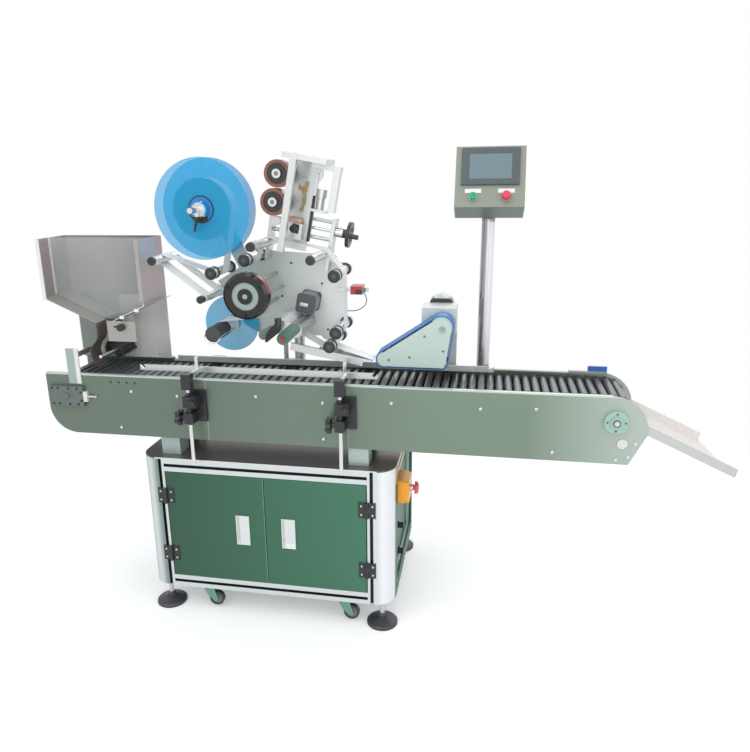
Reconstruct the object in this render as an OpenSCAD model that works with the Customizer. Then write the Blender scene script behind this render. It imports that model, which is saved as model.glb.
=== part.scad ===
// Horizontal wrap-around can labelling machine. The machine's own measures start
// at the cabinet's left front corner on the floor; place() then shifts everything
// so that the origin is the middle of the footprint, with +X along the conveyor.

/* [Cabinet] */
// Width over the corner posts
cab_w = 790; // [740:10:860]
// Depth over the corner posts
cab_d = 550; // [500:10:640]
// Height of the deck's upper face above the floor
cab_h = 531; // [480:1:560]
// Height of the frame's underside above the floor
cab_lift = 87; // [80:1:110]
// Face width of a corner post
post_w = 80; // [70:1:90]
// Side of the square rail profile
rail_w = 40; // [36:1:45]
// Width of the slots in posts and rails
slot_w = 8; // [6:0.5:10]

/* [Doors] */
// Thickness of a door
door_t = 14; // [10:1:20]
// Gap around and between the doors
door_gap = 3; // [2:0.5:5]
// Width of a recessed pull
pull_w = 42; // [35:1:50]
// Height of a recessed pull
pull_h = 98; // [80:1:120]
// Height of the lower hinges above the floor
hinge_low_z = 206; // [190:1:220]
// Height of the upper hinges above the floor
hinge_high_z = 406; // [390:1:420]

/* [Feet and castors] */
// Radius of a levelling foot's pad
foot_r = 48; // [35:1:55]
// Castor wheel radius
castor_r = 25; // [20:1:28]
// Clearance of the castor wheels above the floor
castor_clear = 8; // [4:1:12]
// How far a castor wheel trails behind its kingpin
castor_trail = 25; // [18:1:30]
// Distance of the left castors' kingpins from the cabinet's left side
castor_x = 180; // [160:5:200]
// Distance of the right castors' kingpins from the cabinet's right side
castor_right_x = 163; // [150:5:200]

/* [Side controls] */
// Height of the emergency stop box
stop_box_h = 70; // [60:1:90]
// Width of the emergency stop box along the cabinet's side
stop_box_w = 86; // [70:1:90]
// Travel of a push button
button_travel = 5; // [3:0.5:6]

/* [Conveyor] */
// Front face of the front side plate behind the cabinet's front
cv_y = 18; // [10:1:30]
// Width over the two side plates
cv_w = 232; // [220:1:250]
// Thickness of a side plate
plate_t = 3; // [2:0.5:5]
// Height of the side plates' upper edge above the floor
cv_top = 782; // [765:1:800]
// Height of a side plate
cv_h = 191; // [185:1:200]
// How far the side plates reach out to the left of the cabinet
cv_left = 290; // [275:1:310]
// Overall length of the side plates
cv_len = 1753; // [1740:1:1780]
// Radius of the plates' upper corner at the discharge end
end_r = 95; // [85:1:100]

/* [Roller chain] */
// Pitch of the chain and of its carrying rollers
chain_pitch = 25.4; // [25.4]
// Pitches between the two shafts
chain_span = 63; // [62:1:63]
// Teeth on each sprocket
teeth = 12; // [12]
// Distance of the discharge shaft from the plates' right end
drive_in = 83; // [80:1:90]
// Height of both shafts above the plates' lower edge
shaft_up = 122; // [118:1:124]

/* [Chute] */
// Length of the discharge chute along its slope
chute_len = 272; // [240:2:320]
// Slope of the discharge chute in degrees
chute_slope = 25; // [20:1:28]
// Height of the chute's walls
chute_wall = 24; // [20:1:30]

/* [Guide rails] */
// Gap between the front and the back guide rail
lane_w = 112; // [100:1:120]
// Front face of the back guide rail behind the cabinet's front
lane_back_y = 176; // [170:1:182]
// Length of the front guide rail
guide_len = 730; // [700:5:760]
// Distance of the upright rods in front of the front side plate
rod_out = 38; // [34:1:44]
// Place of the left upright rod along the conveyor
rod_left_x = 190; // [170:5:210]
// Place of the right upright rod along the conveyor
rod_right_x = 640; // [620:5:660]
// Radius of a star knob
star_r = 24; // [20:1:27]

/* [Hopper] */
// Width of the hopper
hop_w = 332; // [320:1:340]
// Depth of the hopper
hop_d = 154; // [140:1:160]
// Height of the hopper's top edge above the conveyor
hop_rise = 395; // [370:5:420]
// Height of the floors' outer ends above the conveyor
hop_floor = 221; // [210:1:230]
// Slope of the hopper's floors in degrees
hop_slope = 24; // [20:1:26]
// Width of the throat between the two floors
throat_w = 36; // [30:1:40]
// Radius of the feed wheel
feed_r = 28; // [25:1:30]
// Height of the feed shaft above the conveyor
feed_up = 46; // [44:1:52]

/* [Label head] */
// Width of the head's mounting plate
head_w = 400; // [380:5:420]
// Height of the head's mounting plate
head_h = 260; // [250:5:270]
// Thickness of the head's mounting plate
head_t = 12; // [10:1:15]
// Left end of the mounting plate
head_x = 217; // [210:1:225]
// Lower edge of the mounting plate above the conveyor
head_up = 95; // [90:1:105]
// Front face of the mounting plate behind the cabinet's front
head_y = 200; // [196:1:206]
// Radius of the supply reel's discs
reel_r = 142; // [130:1:146]
// Width of the label web
web_w = 54; // [45:1:56]
// Radius of the wound label roll
label_r = 86; // [70:1:95]
// Radius of a guide roller
guide_roll_r = 12.5; // [11:0.5:13]
// Radius of the driven roller
drive_roll_r = 20; // [19:0.1:21]
// Radius of the nip roller
nip_r = 22; // [21:0.1:23]
// Radius of the rewind reel's disc
rewind_r = 86; // [75:1:90]
// Radius of the tension wheel
tension_r = 66; // [58:1:68]
// Width of the label motor's square face
motor_w = 57; // [56:1:60]
// Length of the dancer arm between its pivot and its roller
dancer_len = 178; // [170:1:182]
// Length of the peel beam
peel_len = 240; // [225:1:244]

/* [Date coder] */
// Height of the coder's frame
coder_h = 265; // [250:1:275]
// Radius of a ribbon reel
ribbon_r = 37; // [32:1:37]
// Distance between the two ribbon reels' axes
ribbon_gap = 77; // [76:1:80]
// Radius of the coder's handwheel
hand_r = 37; // [30:1:42]

/* [Press unit] */
// Left end of the press unit's column
press_x = 846; // [835:1:860]
// Radius of the press belt's upper pulley
pulley_top_r = 32; // [28:1:34]
// Radius of the press belt's left pulley
pulley_left_r = 22; // [18:1:24]
// Width of the press belt
belt_w = 60; // [50:1:62]
// Gap from the conveyor's upper edge up to the press belt
press_gap = 30; // [24:1:40]

/* [Control box] */
// Radius of the pole
pole_r = 19; // [16:1:22]
// Place of the pole along the conveyor
pole_x = 1026; // [1000:2:1060]
// Width of the control box
box_w = 190; // [180:1:210]
// Height of the control box's face
box_h = 176; // [166:1:186]
// Depth of the control box
box_d = 82; // [70:1:100]
// Tilt of the control box's face in degrees
box_tilt = 24; // [10:1:26]
// Height of the control box's lower front edge above the floor
box_z = 1260; // [1200:2:1300]

/* [Hidden] */
$fn = 48;
over = 1;           // overrun of every cut
seat = 0.3;         // gap between a moving piece and its seat
fit = 0.05;         // running clearance of a pin in its bore
small = 32;         // faces on small rounds
deck_t = 4;
post_r = 60;
core_r = 36;
belt_t = 3.5;
foot_pad_h = 22;
castor_w = 19;
mandrel_r = 23;
motor_len = 70;
web_t = 0.6;
pulley_right_r = 16;
mushroom_r = 20;
button_r = 10;
guide_t = 6;
infeed_r = 85;
link_r = 10.4;
link_t = 2.4;
stop_box_d = 52;
bezel_w = 158;
bezel_h = 106;
dancer_rise = 37;
coder_tilt = 11;
guide_h = 18;
hinge_h = 50;
castor_y = 36;
foot_in = 42;
leg_w = 60;
roll_r = 11;
shaft_r = 10;
hinge_leaf_w = 26;
hinge_leaf_t = 2.5;
knuckle_r = 5;
hinge_pin_r = 2.5;
foot_stem_r = 8;
castor_axle_r = 4;
kingpin_r = 5;
gland_r = 13;
leg_t = 3;
flange_w = 14;
chute_t = 2;
hop_t = 2;
feed_shaft_r = 5;
rod_r = 6;
reel_shaft_r = 8;
axle_r = 5;
guide_flange_r = 18;
panel_t = 3;
slot_d = 9;
pin_r = 4;
bush_r = 7.9;
bush_w = 10;
mast_r = 17;
disc_t = 3;

// cabinet
rail_core = 3.5;
post_hollow = 26;
frame_top = cab_h - deck_t;
rail_z = [cab_lift + rail_w/2, frame_top - rail_w/2];
door_z0 = cab_lift + rail_w + door_gap/2;
door_h = frame_top - rail_w - door_gap/2 - door_z0;
door_w = (cab_w - 2*post_w - 2*door_gap)/2 - door_gap/2;
hinge_y = -knuckle_r - seat/3;
pull_in = 50;       // from a pull's near edge to the door's free edge
pull_z = 306;       // middle of a pull above the floor
pull_t = 1.5;
pull_lip = 3;

// feet and castors
foot_plate_t = 6;
foot_neck_r = 14;
castor_plate = 56;
castor_plate_t = 3;
race_r = 20;
race_t = 4;
fork_t = 2.5;
crown_t = 4;
castor_z = castor_clear + castor_r;
crown_z = cab_lift - castor_plate_t - race_t - seat - crown_t;
fork_in = castor_w/2 + 1.5*over;
tyre_t = 6;
castor_xs = [castor_x, cab_w - castor_right_x];
castor_ys = [castor_y, cab_d - castor_y];
castor_spots = [for (y = castor_ys, x = castor_xs) [x, y]];

// side controls
stop_x0 = cab_w - rail_w/2 + panel_t/2;
stop_y = post_w + stop_box_w/2;
stop_z = frame_top - rail_w - 0.8*stop_box_h;
stop_lid_t = 14;
collar_h = 9;
mushroom_t = 12;
stem_r = 8;
gland_ys = 206;
gland_z_low = 160;
gland_z_high = 254;
gland_len = 24;

// conveyor
cv_x0 = -cv_left;
cv_x1 = cv_x0 + cv_len;
cv_bot = cv_top - cv_h;
cv_back = cv_y + cv_w;
cv_in0 = cv_y + plate_t;
cv_in1 = cv_back - plate_t;
cv_mid = cv_y + cv_w/2;
chamfer_x = 42;     // lower corner at the discharge end
chamfer_z = 88;
shaft_z = cv_bot + shaft_up;
drive_x = cv_x1 - drive_in;
span = round(chain_span);            // whole links between the shafts
idler_x = drive_x - span*chain_pitch;
pitch_r = chain_pitch/(2*sin(180/teeth));
leg_xs = [63, cab_w - leg_w - 80];
leg_ys = [cv_in0 + flange_w, cv_in1 - flange_w - leg_w];
tie_w = leg_w;
tie_h = 20;
tie_count = 5;
track_w = 22;
track_t = 10;
track_end = 70;     // track ends short of the shafts
leg_plate_t = 5;
plug_r = 14;
plug_x = cv_x1 - 62;
plug_z = cv_bot + 60;
hole_r = 3;
end_hole_gap = 26;  // row of spare holes at the infeed end
end_hole_x = cv_x0 + 215;
end_hole_z = cv_top - 22;
takeup_slot = 44;

// chain
link_gap = 0.4;
pin_out = 2*link_t + 2*link_gap;
bush_y = cv_in0 + 3.2*over + pin_out;      // outer face of the front chain's bush
sprocket_w = bush_w - 2*over;
roll_y0 = bush_y + bush_w + pin_out + over;
roll_end = 20;      // narrower end sleeve of a carrying roller
roll_step = 1;
hub_r = 22;
hub_w = 16;
tooth_r = pitch_r + over;
links = 2*span + teeth;

// bearings and drive
bearing_r = 31;
bearing_t = 11;
boss_r = 17;
boss_t = 6;
block_w = 109;
block_h = 63;
block_t = 12;
block_back = 54;    // shaft centre to the block's left end
takeup_tab = 38;
gear_w = 78;
gear_d = 76;
gear_h = 92;
gear_motor_r = 36;
gear_motor_len = 96;
shaft_nose = 3;

// chute
chute_x0 = cv_x1 - 19;
chute_z0 = cv_bot + 95;
chute_short = 37;   // the back wall stops short of the tip
chute_end_x = chute_x0 + (chute_len - chute_wall/5)*cos(chute_slope)
    + chute_wall*sin(chute_slope);

// guide rails
guide_z = cv_top + 8;
guide_x0 = 5;
lane_y0 = lane_back_y - lane_w;
back_guide_len = 1000;
back_guide_x0 = 60;
arm_r = 5;
arm_z = guide_z + guide_h/2;
clamp_w = 28;
clamp_d = 26;
clamp_h = 46;
rod_y = cv_y - rod_out;
rod_low = cab_h;
lock_w = 46;
lock_h = 96;
lock_z = cv_top - 128;
lock_t = 10;
grip_h = 32;
knob_r = 11;
knob_t = 14;
star_z = lock_z + 20;
round_z = lock_z + 70;
star_stem = 12;
star_stem_r = 7;
bracket_t = 4;
bracket_w = 40;
post_holder_h = 48;
sensor_x = drive_x - 50;
sensor_w = 54;
sensor_h = 15;
sensor_d = 14;

// hopper
hop_x0 = cv_x0 - 18;
hop_x1 = hop_x0 + hop_w;
hop_y1 = cv_back - flange_w;
hop_y0 = hop_y1 - hop_d;
hop_z = cv_top;
throat_x = hop_x0 + 171;
left_floor = throat_x - hop_x0;
right_floor = hop_x1 - throat_x - throat_w;
floor_drop = left_floor*tan(hop_slope);
throat_z = hop_z + hop_floor - floor_drop;
right_top = throat_z + right_floor*tan(hop_slope);
hop_edge = 12;      // stiffening fold along the free edges
window_t = 4;
window_y = hop_y0 + 66;
ledge = 16;
clip_w = 14;
clip_h = 5;
feed_x = throat_x + throat_w/2 - 1.5*over;
feed_z = hop_z + feed_up;
feed_pockets = 6;
guard_gap = 8;
guard_t = 3;
guard_r = feed_r + guard_gap;
foot_fold = 15;
gate_w = 92;
gate_h = 63;
gate_t = 3;
gate_y = hop_y0 - gate_t - seat;
gate_z = throat_z - gate_h + 8;
gate_slot = 34;
bracket_x = cv_x0 + 80;
bracket_top = cv_top + 79;

// head
head_z = cv_top + head_up;
head_back = head_y + head_t;
head_shares = [[0, 0.64], [0.185, 0.805], [0.362, 1], [0.52, 0.99], [0.84, 0.955],
    [0.937, 0.845], [0.987, 0.66], [1, 0.335], [0.967, 0.18], [0.895, 0.023],
    [0.635, 0], [0.31, 0.03], [0.2, 0.12], [0.11, 0.36]];
web_y0 = 95;
web_y1 = web_y0 + web_w;
reel_x = head_x + 8;
reel_z = cv_top + 480;
reel_disc_y = web_y0 - seat - disc_t;
reel_nose = 14;
arm_w = 44;
collar_r = 25;
collar_d = 20;
lever_len = 62;
lever_r = 5;
dancer_x = head_x + 11;
dancer_z = cv_top + 232;
dancer_bar_r = 11;
dancer_bar_y = 60;
dancer_arm_w = 20;
dancer_arm_t = 9;
dancer_x1 = dancer_x - dancer_len*cos(dancer_rise);
dancer_z1 = dancer_z + dancer_len*sin(dancer_rise);
roller_y0 = 42;
flange_t = 6;
roller_b = [head_x + 146, cv_top + 344];
roller_c = [head_x + 45, cv_top + 306];
roller_k = [head_x + 401, cv_top + 303];
roller_l = [head_x + 402, cv_top + 144];
roller_m = [head_x + 383, cv_top + 104];
bar_a = [head_x + 194, cv_top + 389];
bar_j = [head_x + 356, cv_top + 355];
bar_r = 13;
bar_front = -38;
cap_t = 8;
drive_roll = [head_x + 286, cv_top + 149];
nip_tilt = 12;
nip_gap = drive_roll_r + nip_r + web_t + 2*seat + fit;
nip_roll = drive_roll + nip_gap*[-cos(nip_tilt), sin(nip_tilt)];
rewind = [head_x + 41, cv_top + 132];
rewind_y = head_y - 12;
mandrel_y = 28;
mandrel_grip = 90;
rewind_shaft_r = 7;
tension = [head_x + 156, cv_top + 249];
tension_y = 0;
tension_w = 34;
tension_hub_r = 22;
tension_ring_r = 38;
back_flange_t = 6;
standoff_r = 6;
standoff_ring = 50;
motor_at = [head_x + 294, cv_top + 208];
motor_cut = 9;
peel_x = head_x + 258;
peel_z = cv_top + 101;
peel_slope = 11;
peel_t = 3;
peel_bar = 22;
peel_bar_t = 8;
peel_y0 = web_y0 - peel_bar_t - over;
end_link_t = 8;
sensor_arm = 46;
eye_w = 34;
eye_h = 24;
mast_y = cv_back + mast_r + 6;
mast_x = head_x + 232;
screw_x = mast_x - 46;
screw_r = 8;
mast_low = cv_bot + 60;
mast_high = head_z + 150;
mast_block_w = 130;
mast_block_h = 70;
slide_h = 90;
slide_w = 76;
web_ring = seat + web_t/2;

// date coder, in its own tilted frame: u along the web, v square to it
coder_x = head_x + 233;
coder_z = cv_top + 368;
coder_plate_y = 160;
coder_plate_t = 6;
coder_plate_w = 66;
bar_w = 18;
bar_y = 62;
gantry_t = 15;
rail_y = 179;
rail_r = 6;
rail_v_low = 44;
rail_v_high = 95;
screw_v = (rail_v_low + rail_v_high)/2;
end_u = 124;
end_t = 10;
left_u = -60;
slider_w = 60;
slider_d = 24;
reel_u = -38;
ribbon_low_v = 126;
ribbon_w = 46;
ribbon_y = 96;
ribbon_core_r = 13;
ribbon_inner_r = 28;
hand_u = end_u + end_t + 36;
hand_t = 10;
crank_r = 7;
crank_len = 26;
coder_foot = 44;

// press unit
press_w = 100;
press_top = [press_x + 62, cv_top + 152];
press_left = [press_x - 100, cv_top + press_gap + belt_t + pulley_left_r];
press_right = [press_x + 64, cv_top + press_gap + belt_t + pulley_right_r];
press_y0 = cv_mid - belt_w/2 - 4*over;
cover_t = 6;
cover_rim = 3;
press_h = 195;
press_motor_r = 44;
press_motor_len = 60;
press_plate_t = 8;

// control box
pole_y = cv_back + pole_r + 8;
pole_low = cv_bot + 50;
clamp_t = 16;
box_y = pole_y - 1.25*box_d;
bezel_t = 7;
screen_w = 0.73*bezel_w;
screen_h = 0.69*bezel_h;
bezel_up = box_h - bezel_h - bezel_t;
button_v = 29;
button_in = 50;
ring_t = 4;

// shift to the machine's own origin: middle of the footprint, on the floor
front_y = rod_y - clamp_d/2 - knob_t;
rear_y = cab_d - foot_in + foot_r;
mid_x = (hop_x0 + chute_end_x)/2;
mid_y = (front_y + rear_y)/2;

module place() translate([-mid_x, -mid_y, 0]) children();

module block(at, size) translate(at) cube(size);

// a cylinder along Y from y0 to y1 at [x, z]
module along_y(at, y0, y1, r) translate([at[0], y1, at[1]]) rotate([90, 0, 0])
    cylinder(r = r, h = y1 - y0);

// an XZ outline swept along Y from y0 to y1
module slab_y(y0, y1) translate([0, y1, 0]) rotate([90, 0, 0])
    linear_extrude(y1 - y0) children();

// a revolved profile of [radius, y] about the Y axis through [x, z]
module turned_y(at, profile) translate([at[0], 0, at[1]]) rotate([-90, 0, 0])
    rotate_extrude() polygon(profile);

module stadium(len, r) {
    circle(r);
    translate([len, 0]) circle(r);
    translate([0, -r]) square([len, 2*r]);
}

module round_plate(size, r) {
    translate([r, 0]) square([size[0] - 2*r, size[1]]);
    translate([0, r]) square([size[0], size[1] - 2*r]);
    for (x = [r, size[0] - r], y = [r, size[1] - r]) translate([x, y]) circle(r);
}

// Path round a list of circles [x, z, r, turn], where turn is 1 for a path that
// runs anticlockwise and -1 for clockwise; returns [x, z, nx, nz] along the path.
function tangent(a, b) = let (d = [b[0] - a[0], b[1] - a[1]], l = norm(d),
    base = atan2(d[1], d[0]), s = asin((a[3]*a[2] - b[3]*b[2])/l)) base + s;
function on_circle(c, heading) = let (n = [sin(heading), -cos(heading)])
    [c[0] + c[3]*c[2]*n[0], c[1] + c[3]*c[2]*n[1], n[0], n[1]];
function wrapped(from, to, turn) = turn > 0
    ? (to < from ? wrapped(from, to + 360, turn) : [from, to])
    : (to > from ? wrapped(from, to - 360, turn) : [from, to]);
function arc_points(c, from, to, steps) = let (w = wrapped(from, to, c[3]))
    [for (i = [0:steps]) on_circle(c, w[0] + (w[1] - w[0])*i/steps)];
function open_path(cs, start, end, steps) = [for (i = [0:len(cs) - 1])
    each arc_points(cs[i], i == 0 ? start : tangent(cs[i - 1], cs[i]),
        i == len(cs) - 1 ? end : tangent(cs[i], cs[i + 1]), steps)];
function side(path, off) = [for (p = path) [p[0] + off*p[2], p[1] + off*p[3]]];
function loop_path(cs, steps) = let (n = len(cs)) [for (i = [0:n - 1])
    each arc_points(cs[i], tangent(cs[(i + n - 1) % n], cs[i]),
        tangent(cs[i], cs[(i + 1) % n]), steps)];
function turned_list(v) = [for (i = [len(v) - 1:-1:0]) v[i]];

// cabinet
module post_outline() difference() {
    square(post_w);
    difference() {
        translate([-over, -over]) square(post_r + over);
        translate([post_r, post_r]) circle(post_r);
    }
    for (m = [0, 1]) mirror([m, -m])
        translate([post_w - slot_d - slot_w, -over]) square([slot_w, slot_d + over]);
    translate([post_w - slot_w - post_hollow, post_w - slot_w - post_hollow])
        square(post_hollow);
}

module rail(len) linear_extrude(len) difference() {
    square(rail_w, center = true);
    for (a = [0:90:270]) rotate(a) translate([-slot_w/2, rail_w/2 - slot_d])
        square([slot_w, slot_d + over]);
    circle(rail_core);
}

module castor_base(at) translate([at[0], at[1], cab_lift]) {
    block([-castor_plate/2, -castor_plate/2, -castor_plate_t],
        [castor_plate, castor_plate, castor_plate_t]);
    translate([0, 0, -castor_plate_t - race_t]) cylinder(r = race_r, h = race_t);
    translate([0, 0, crown_z - cab_lift - over]) cylinder(r = kingpin_r,
        h = crown_t + race_t + seat);
    translate([0, 0, crown_z - cab_lift - race_t - seat])
        cylinder(r = 2*kingpin_r, h = race_t);
}

module cabinet_frame() color("lightsteelblue") place() {
    for (mx = [0, 1], my = [0, 1])
        translate([mx*cab_w, my*cab_d, cab_lift]) mirror([mx, 0, 0]) mirror([0, my, 0])
            linear_extrude(frame_top - cab_lift) post_outline();
    for (z = rail_z) {
        for (y = [rail_w/2, cab_d - rail_w/2]) translate([post_w, y, z])
            rotate([90, 0, 90]) rail(cab_w - 2*post_w);
        for (x = [rail_w/2, cab_w - rail_w/2]) translate([x, cab_d - post_w, z])
            rotate([90, 0, 0]) rail(cab_d - 2*post_w);
    }
    for (p = castor_spots) castor_base(p);
}

module cabinet_panels() color("darkseagreen") place() {
    z0 = cab_lift + rail_w - slot_d;
    h = frame_top - rail_w + slot_d - z0;
    for (x = [rail_w/2, cab_w - rail_w/2]) block([x - panel_t/2, post_w, z0],
        [panel_t, cab_d - 2*post_w, h]);
    block([post_w, cab_d - rail_w/2 - panel_t/2, z0], [cab_w - 2*post_w, panel_t, h]);
    block([post_w, rail_w/2, cab_lift + rail_w],
        [cab_w - 2*post_w, cab_d - rail_w - panel_t, panel_t]);
}

module top_plate() color("dimgray") place() translate([0, 0, frame_top])
    linear_extrude(deck_t) round_plate([cab_w, cab_d], post_r);

// a door hung on its left edge, its front face at y = 0
module door() {
    px = door_w - pull_in - pull_w;
    difference() {
        block([0, 0, door_z0], [door_w, door_t, door_h]);
        block([px, -over, pull_z - pull_h/2], [pull_w, door_t + 2*over, pull_h]);
    }
    translate([px, 0, pull_z - pull_h/2]) difference() {
        block([-pull_lip, -pull_t, -pull_lip],
            [pull_w + 2*pull_lip, door_t + pull_t, pull_h + 2*pull_lip]);
        block([pull_t, -pull_t - over, pull_t],
            [pull_w - 2*pull_t, door_t + over - pull_t, pull_h - 2*pull_t]);
        for (x = [-pull_lip - over, pull_w]) block([x, 0, -pull_lip - over],
            [pull_lip + over, door_t + over, pull_h + 2*pull_lip + 2*over]);
        for (z = [-pull_lip - over, pull_h]) block([-over, 0, z],
            [pull_w + 2*over, door_t + over, pull_lip + over]);
    }
    for (z = [hinge_low_z, hinge_high_z]) translate([-door_gap, 0, z - hinge_h/2]) {
        block([2*door_gap, -hinge_leaf_t, 0], [hinge_leaf_w - 2*door_gap, hinge_leaf_t, hinge_h]);
        difference() {
            union() {
                block([0, -hinge_leaf_t, hinge_h/3 + seat],
                    [3*door_gap, hinge_leaf_t, hinge_h/3 - 2*seat]);
                translate([0, hinge_y, hinge_h/3 + seat])
                    cylinder(r = knuckle_r, h = hinge_h/3 - 2*seat);
            }
            translate([0, hinge_y, -over]) cylinder(r = hinge_pin_r + fit,
                h = hinge_h + 2*over);
        }
    }
}

module door_left() color("seagreen") place() translate([post_w + door_gap, 0, 0]) door();
module door_right() color("seagreen") place()
    translate([cab_w - post_w - door_gap, 0, 0]) mirror([1, 0, 0]) door();

module hinge_leaf() difference() {
    union() {
        block([-hinge_leaf_w, -hinge_leaf_t, 0],
            [hinge_leaf_w - 2*door_gap, hinge_leaf_t, hinge_h]);
        for (z = [0, 2*hinge_h/3]) {
            translate([0, hinge_y, z]) cylinder(r = knuckle_r, h = hinge_h/3);
            block([-2.5*door_gap, -hinge_leaf_t, z], [2.5*door_gap, hinge_leaf_t, hinge_h/3]);
        }
        translate([0, hinge_y, 0]) cylinder(r = hinge_pin_r, h = hinge_h);
    }
}

module hinge_leaves() color("black") place() for (m = [0, 1], z = [hinge_low_z, hinge_high_z])
    translate([m*cab_w, 0, z - hinge_h/2]) mirror([m, 0, 0])
        translate([post_w, 0, 0]) hinge_leaf();

module foot() {
    rotate_extrude() polygon([[0, 0], [foot_r, 0], [foot_r, foot_pad_h/3],
        [foot_r - foot_pad_h/6, foot_pad_h/2], [foot_neck_r, foot_pad_h],
        [foot_neck_r, foot_pad_h + foot_neck_r/2], [foot_stem_r, foot_pad_h + foot_neck_r],
        [foot_stem_r, cab_lift - foot_plate_t], [0, cab_lift - foot_plate_t]]);
    translate([0, 0, cab_lift - foot_plate_t - foot_stem_r])
        cylinder(r = 1.8*foot_stem_r, h = foot_stem_r, $fn = 6);
    block([-foot_neck_r - foot_stem_r, -foot_neck_r - foot_stem_r, cab_lift - foot_plate_t],
        [2*foot_neck_r + 2*foot_stem_r, 2*foot_neck_r + 2*foot_stem_r, foot_plate_t]);
}

module levelling_feet() color("dimgray") place()
    for (x = [foot_in, cab_w - foot_in], y = [foot_in, cab_d - foot_in])
        translate([x, y, 0]) foot();

module caster_fork(i) color("lightseagreen") place() translate(concat(castor_spots[i], [0])) {
    difference() {
        translate([0, 0, crown_z]) cylinder(r = race_r + fork_t, h = crown_t);
        translate([0, 0, crown_z - over]) cylinder(r = kingpin_r + fit, h = crown_t + 2*over);
    }
    for (s = [-1, 1]) translate([0, s*(fork_in + fork_t/2) + fork_t/2, 0]) rotate([90, 0, 0])
        linear_extrude(fork_t) polygon([[-race_r + fork_t, crown_z + crown_t],
            [race_r - fork_t, crown_z + crown_t], [castor_trail + 2*castor_axle_r, castor_z],
            [castor_trail + castor_axle_r, castor_z - 2*castor_axle_r],
            [castor_trail - castor_axle_r, castor_z - 2*castor_axle_r], [0, castor_z + race_r/2]]);
    translate([castor_trail, fork_in + fork_t, castor_z]) rotate([90, 0, 0])
        cylinder(r = castor_axle_r, h = 2*fork_in + 2*fork_t);
}
module caster_fork_1() caster_fork(0);
module caster_fork_2() caster_fork(1);
module caster_fork_3() caster_fork(2);
module caster_fork_4() caster_fork(3);

module caster_wheel(i) color("black") place() {
    p = castor_spots[i];
    b = castor_w/2;
    turned_y([p[0] + castor_trail, castor_z], [for (q = [[castor_axle_r + fit, -b],
        [2.2*castor_axle_r, -b], [2.2*castor_axle_r, tyre_t/2 - b],
        [castor_r - tyre_t, tyre_t/2 - b], [castor_r - tyre_t, -b],
        [castor_r - tyre_t/3, -b], [castor_r, tyre_t/2 - b], [castor_r, b - tyre_t/2],
        [castor_r - tyre_t/3, b], [castor_r - tyre_t, b], [castor_r - tyre_t, b - tyre_t/2],
        [2.2*castor_axle_r, b - tyre_t/2], [2.2*castor_axle_r, b],
        [castor_axle_r + fit, b]]) [q[0], q[1] + p[1]]]);
}
module caster_wheel_1() caster_wheel(0);
module caster_wheel_2() caster_wheel(1);
module caster_wheel_3() caster_wheel(2);
module caster_wheel_4() caster_wheel(3);

// controls on the cabinet's right side
module side_controls() color("orange") place() {
    difference() {
        union() {
            block([stop_x0, stop_y - stop_box_w/2, stop_z - stop_box_h/2],
                [stop_box_d - stop_lid_t, stop_box_w, stop_box_h]);
            translate([stop_x0 + stop_box_d - stop_lid_t, stop_y - stop_box_w/2,
                stop_z - stop_box_h/2]) rotate([90, 0, 90])
                    linear_extrude(stop_lid_t) round_plate([stop_box_w, stop_box_h], stem_r);
            translate([stop_x0 + stop_box_d, stop_y, stop_z]) rotate([0, 90, 0])
                cylinder(r = mushroom_r/2 + over, h = collar_h);
        }
        translate([stop_x0 + stop_box_d - stop_lid_t, stop_y, stop_z]) rotate([0, 90, 0])
            cylinder(r = stem_r + fit, h = stop_lid_t + collar_h + over);
    }
    for (z = [gland_z_low, gland_z_high]) translate([stop_x0, gland_ys, z])
        rotate([0, 90, 0]) {
            cylinder(r = gland_r, h = gland_len/3, $fn = 6);
            cylinder(r = 0.75*gland_r, h = gland_len);
        }
}

module mushroom(stem) {
    rotate_extrude() polygon([[0, 0], [stem_r, 0], [stem_r, stem], [mushroom_r - over, stem],
        [mushroom_r, stem + mushroom_t/4], [mushroom_r - mushroom_t/4, stem + 0.8*mushroom_t],
        [mushroom_r/2, stem + mushroom_t], [0, stem + mushroom_t]]);
}

module estop_button() color("crimson") place()
    translate([stop_x0 + stop_box_d + collar_h - stop_lid_t, stop_y, stop_z])
        rotate([0, 90, 0]) mushroom(stop_lid_t + button_travel + seat);

// conveyor
module plate_outline() difference() {
    translate([cv_x0, cv_bot]) square([cv_len, cv_h]);
    translate([cv_x0 - over, cv_bot - over]) difference() {
        square(infeed_r + over);
        translate([infeed_r + over, infeed_r + over]) circle(infeed_r);
    }
    translate([cv_x1 - end_r, cv_top - end_r]) difference() {
        square(end_r + over);
        circle(end_r);
    }
    polygon([[cv_x1 - chamfer_x, cv_bot], [cv_x1 - chamfer_x, cv_bot - over],
        [cv_x1 + over, cv_bot - over], [cv_x1 + over, cv_bot + chamfer_z],
        [cv_x1, cv_bot + chamfer_z]]);
    translate([drive_x, shaft_z]) circle(boss_r);
    translate([idler_x - takeup_slot/2, shaft_z]) stadium(takeup_slot, shaft_r + over);
}

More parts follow.
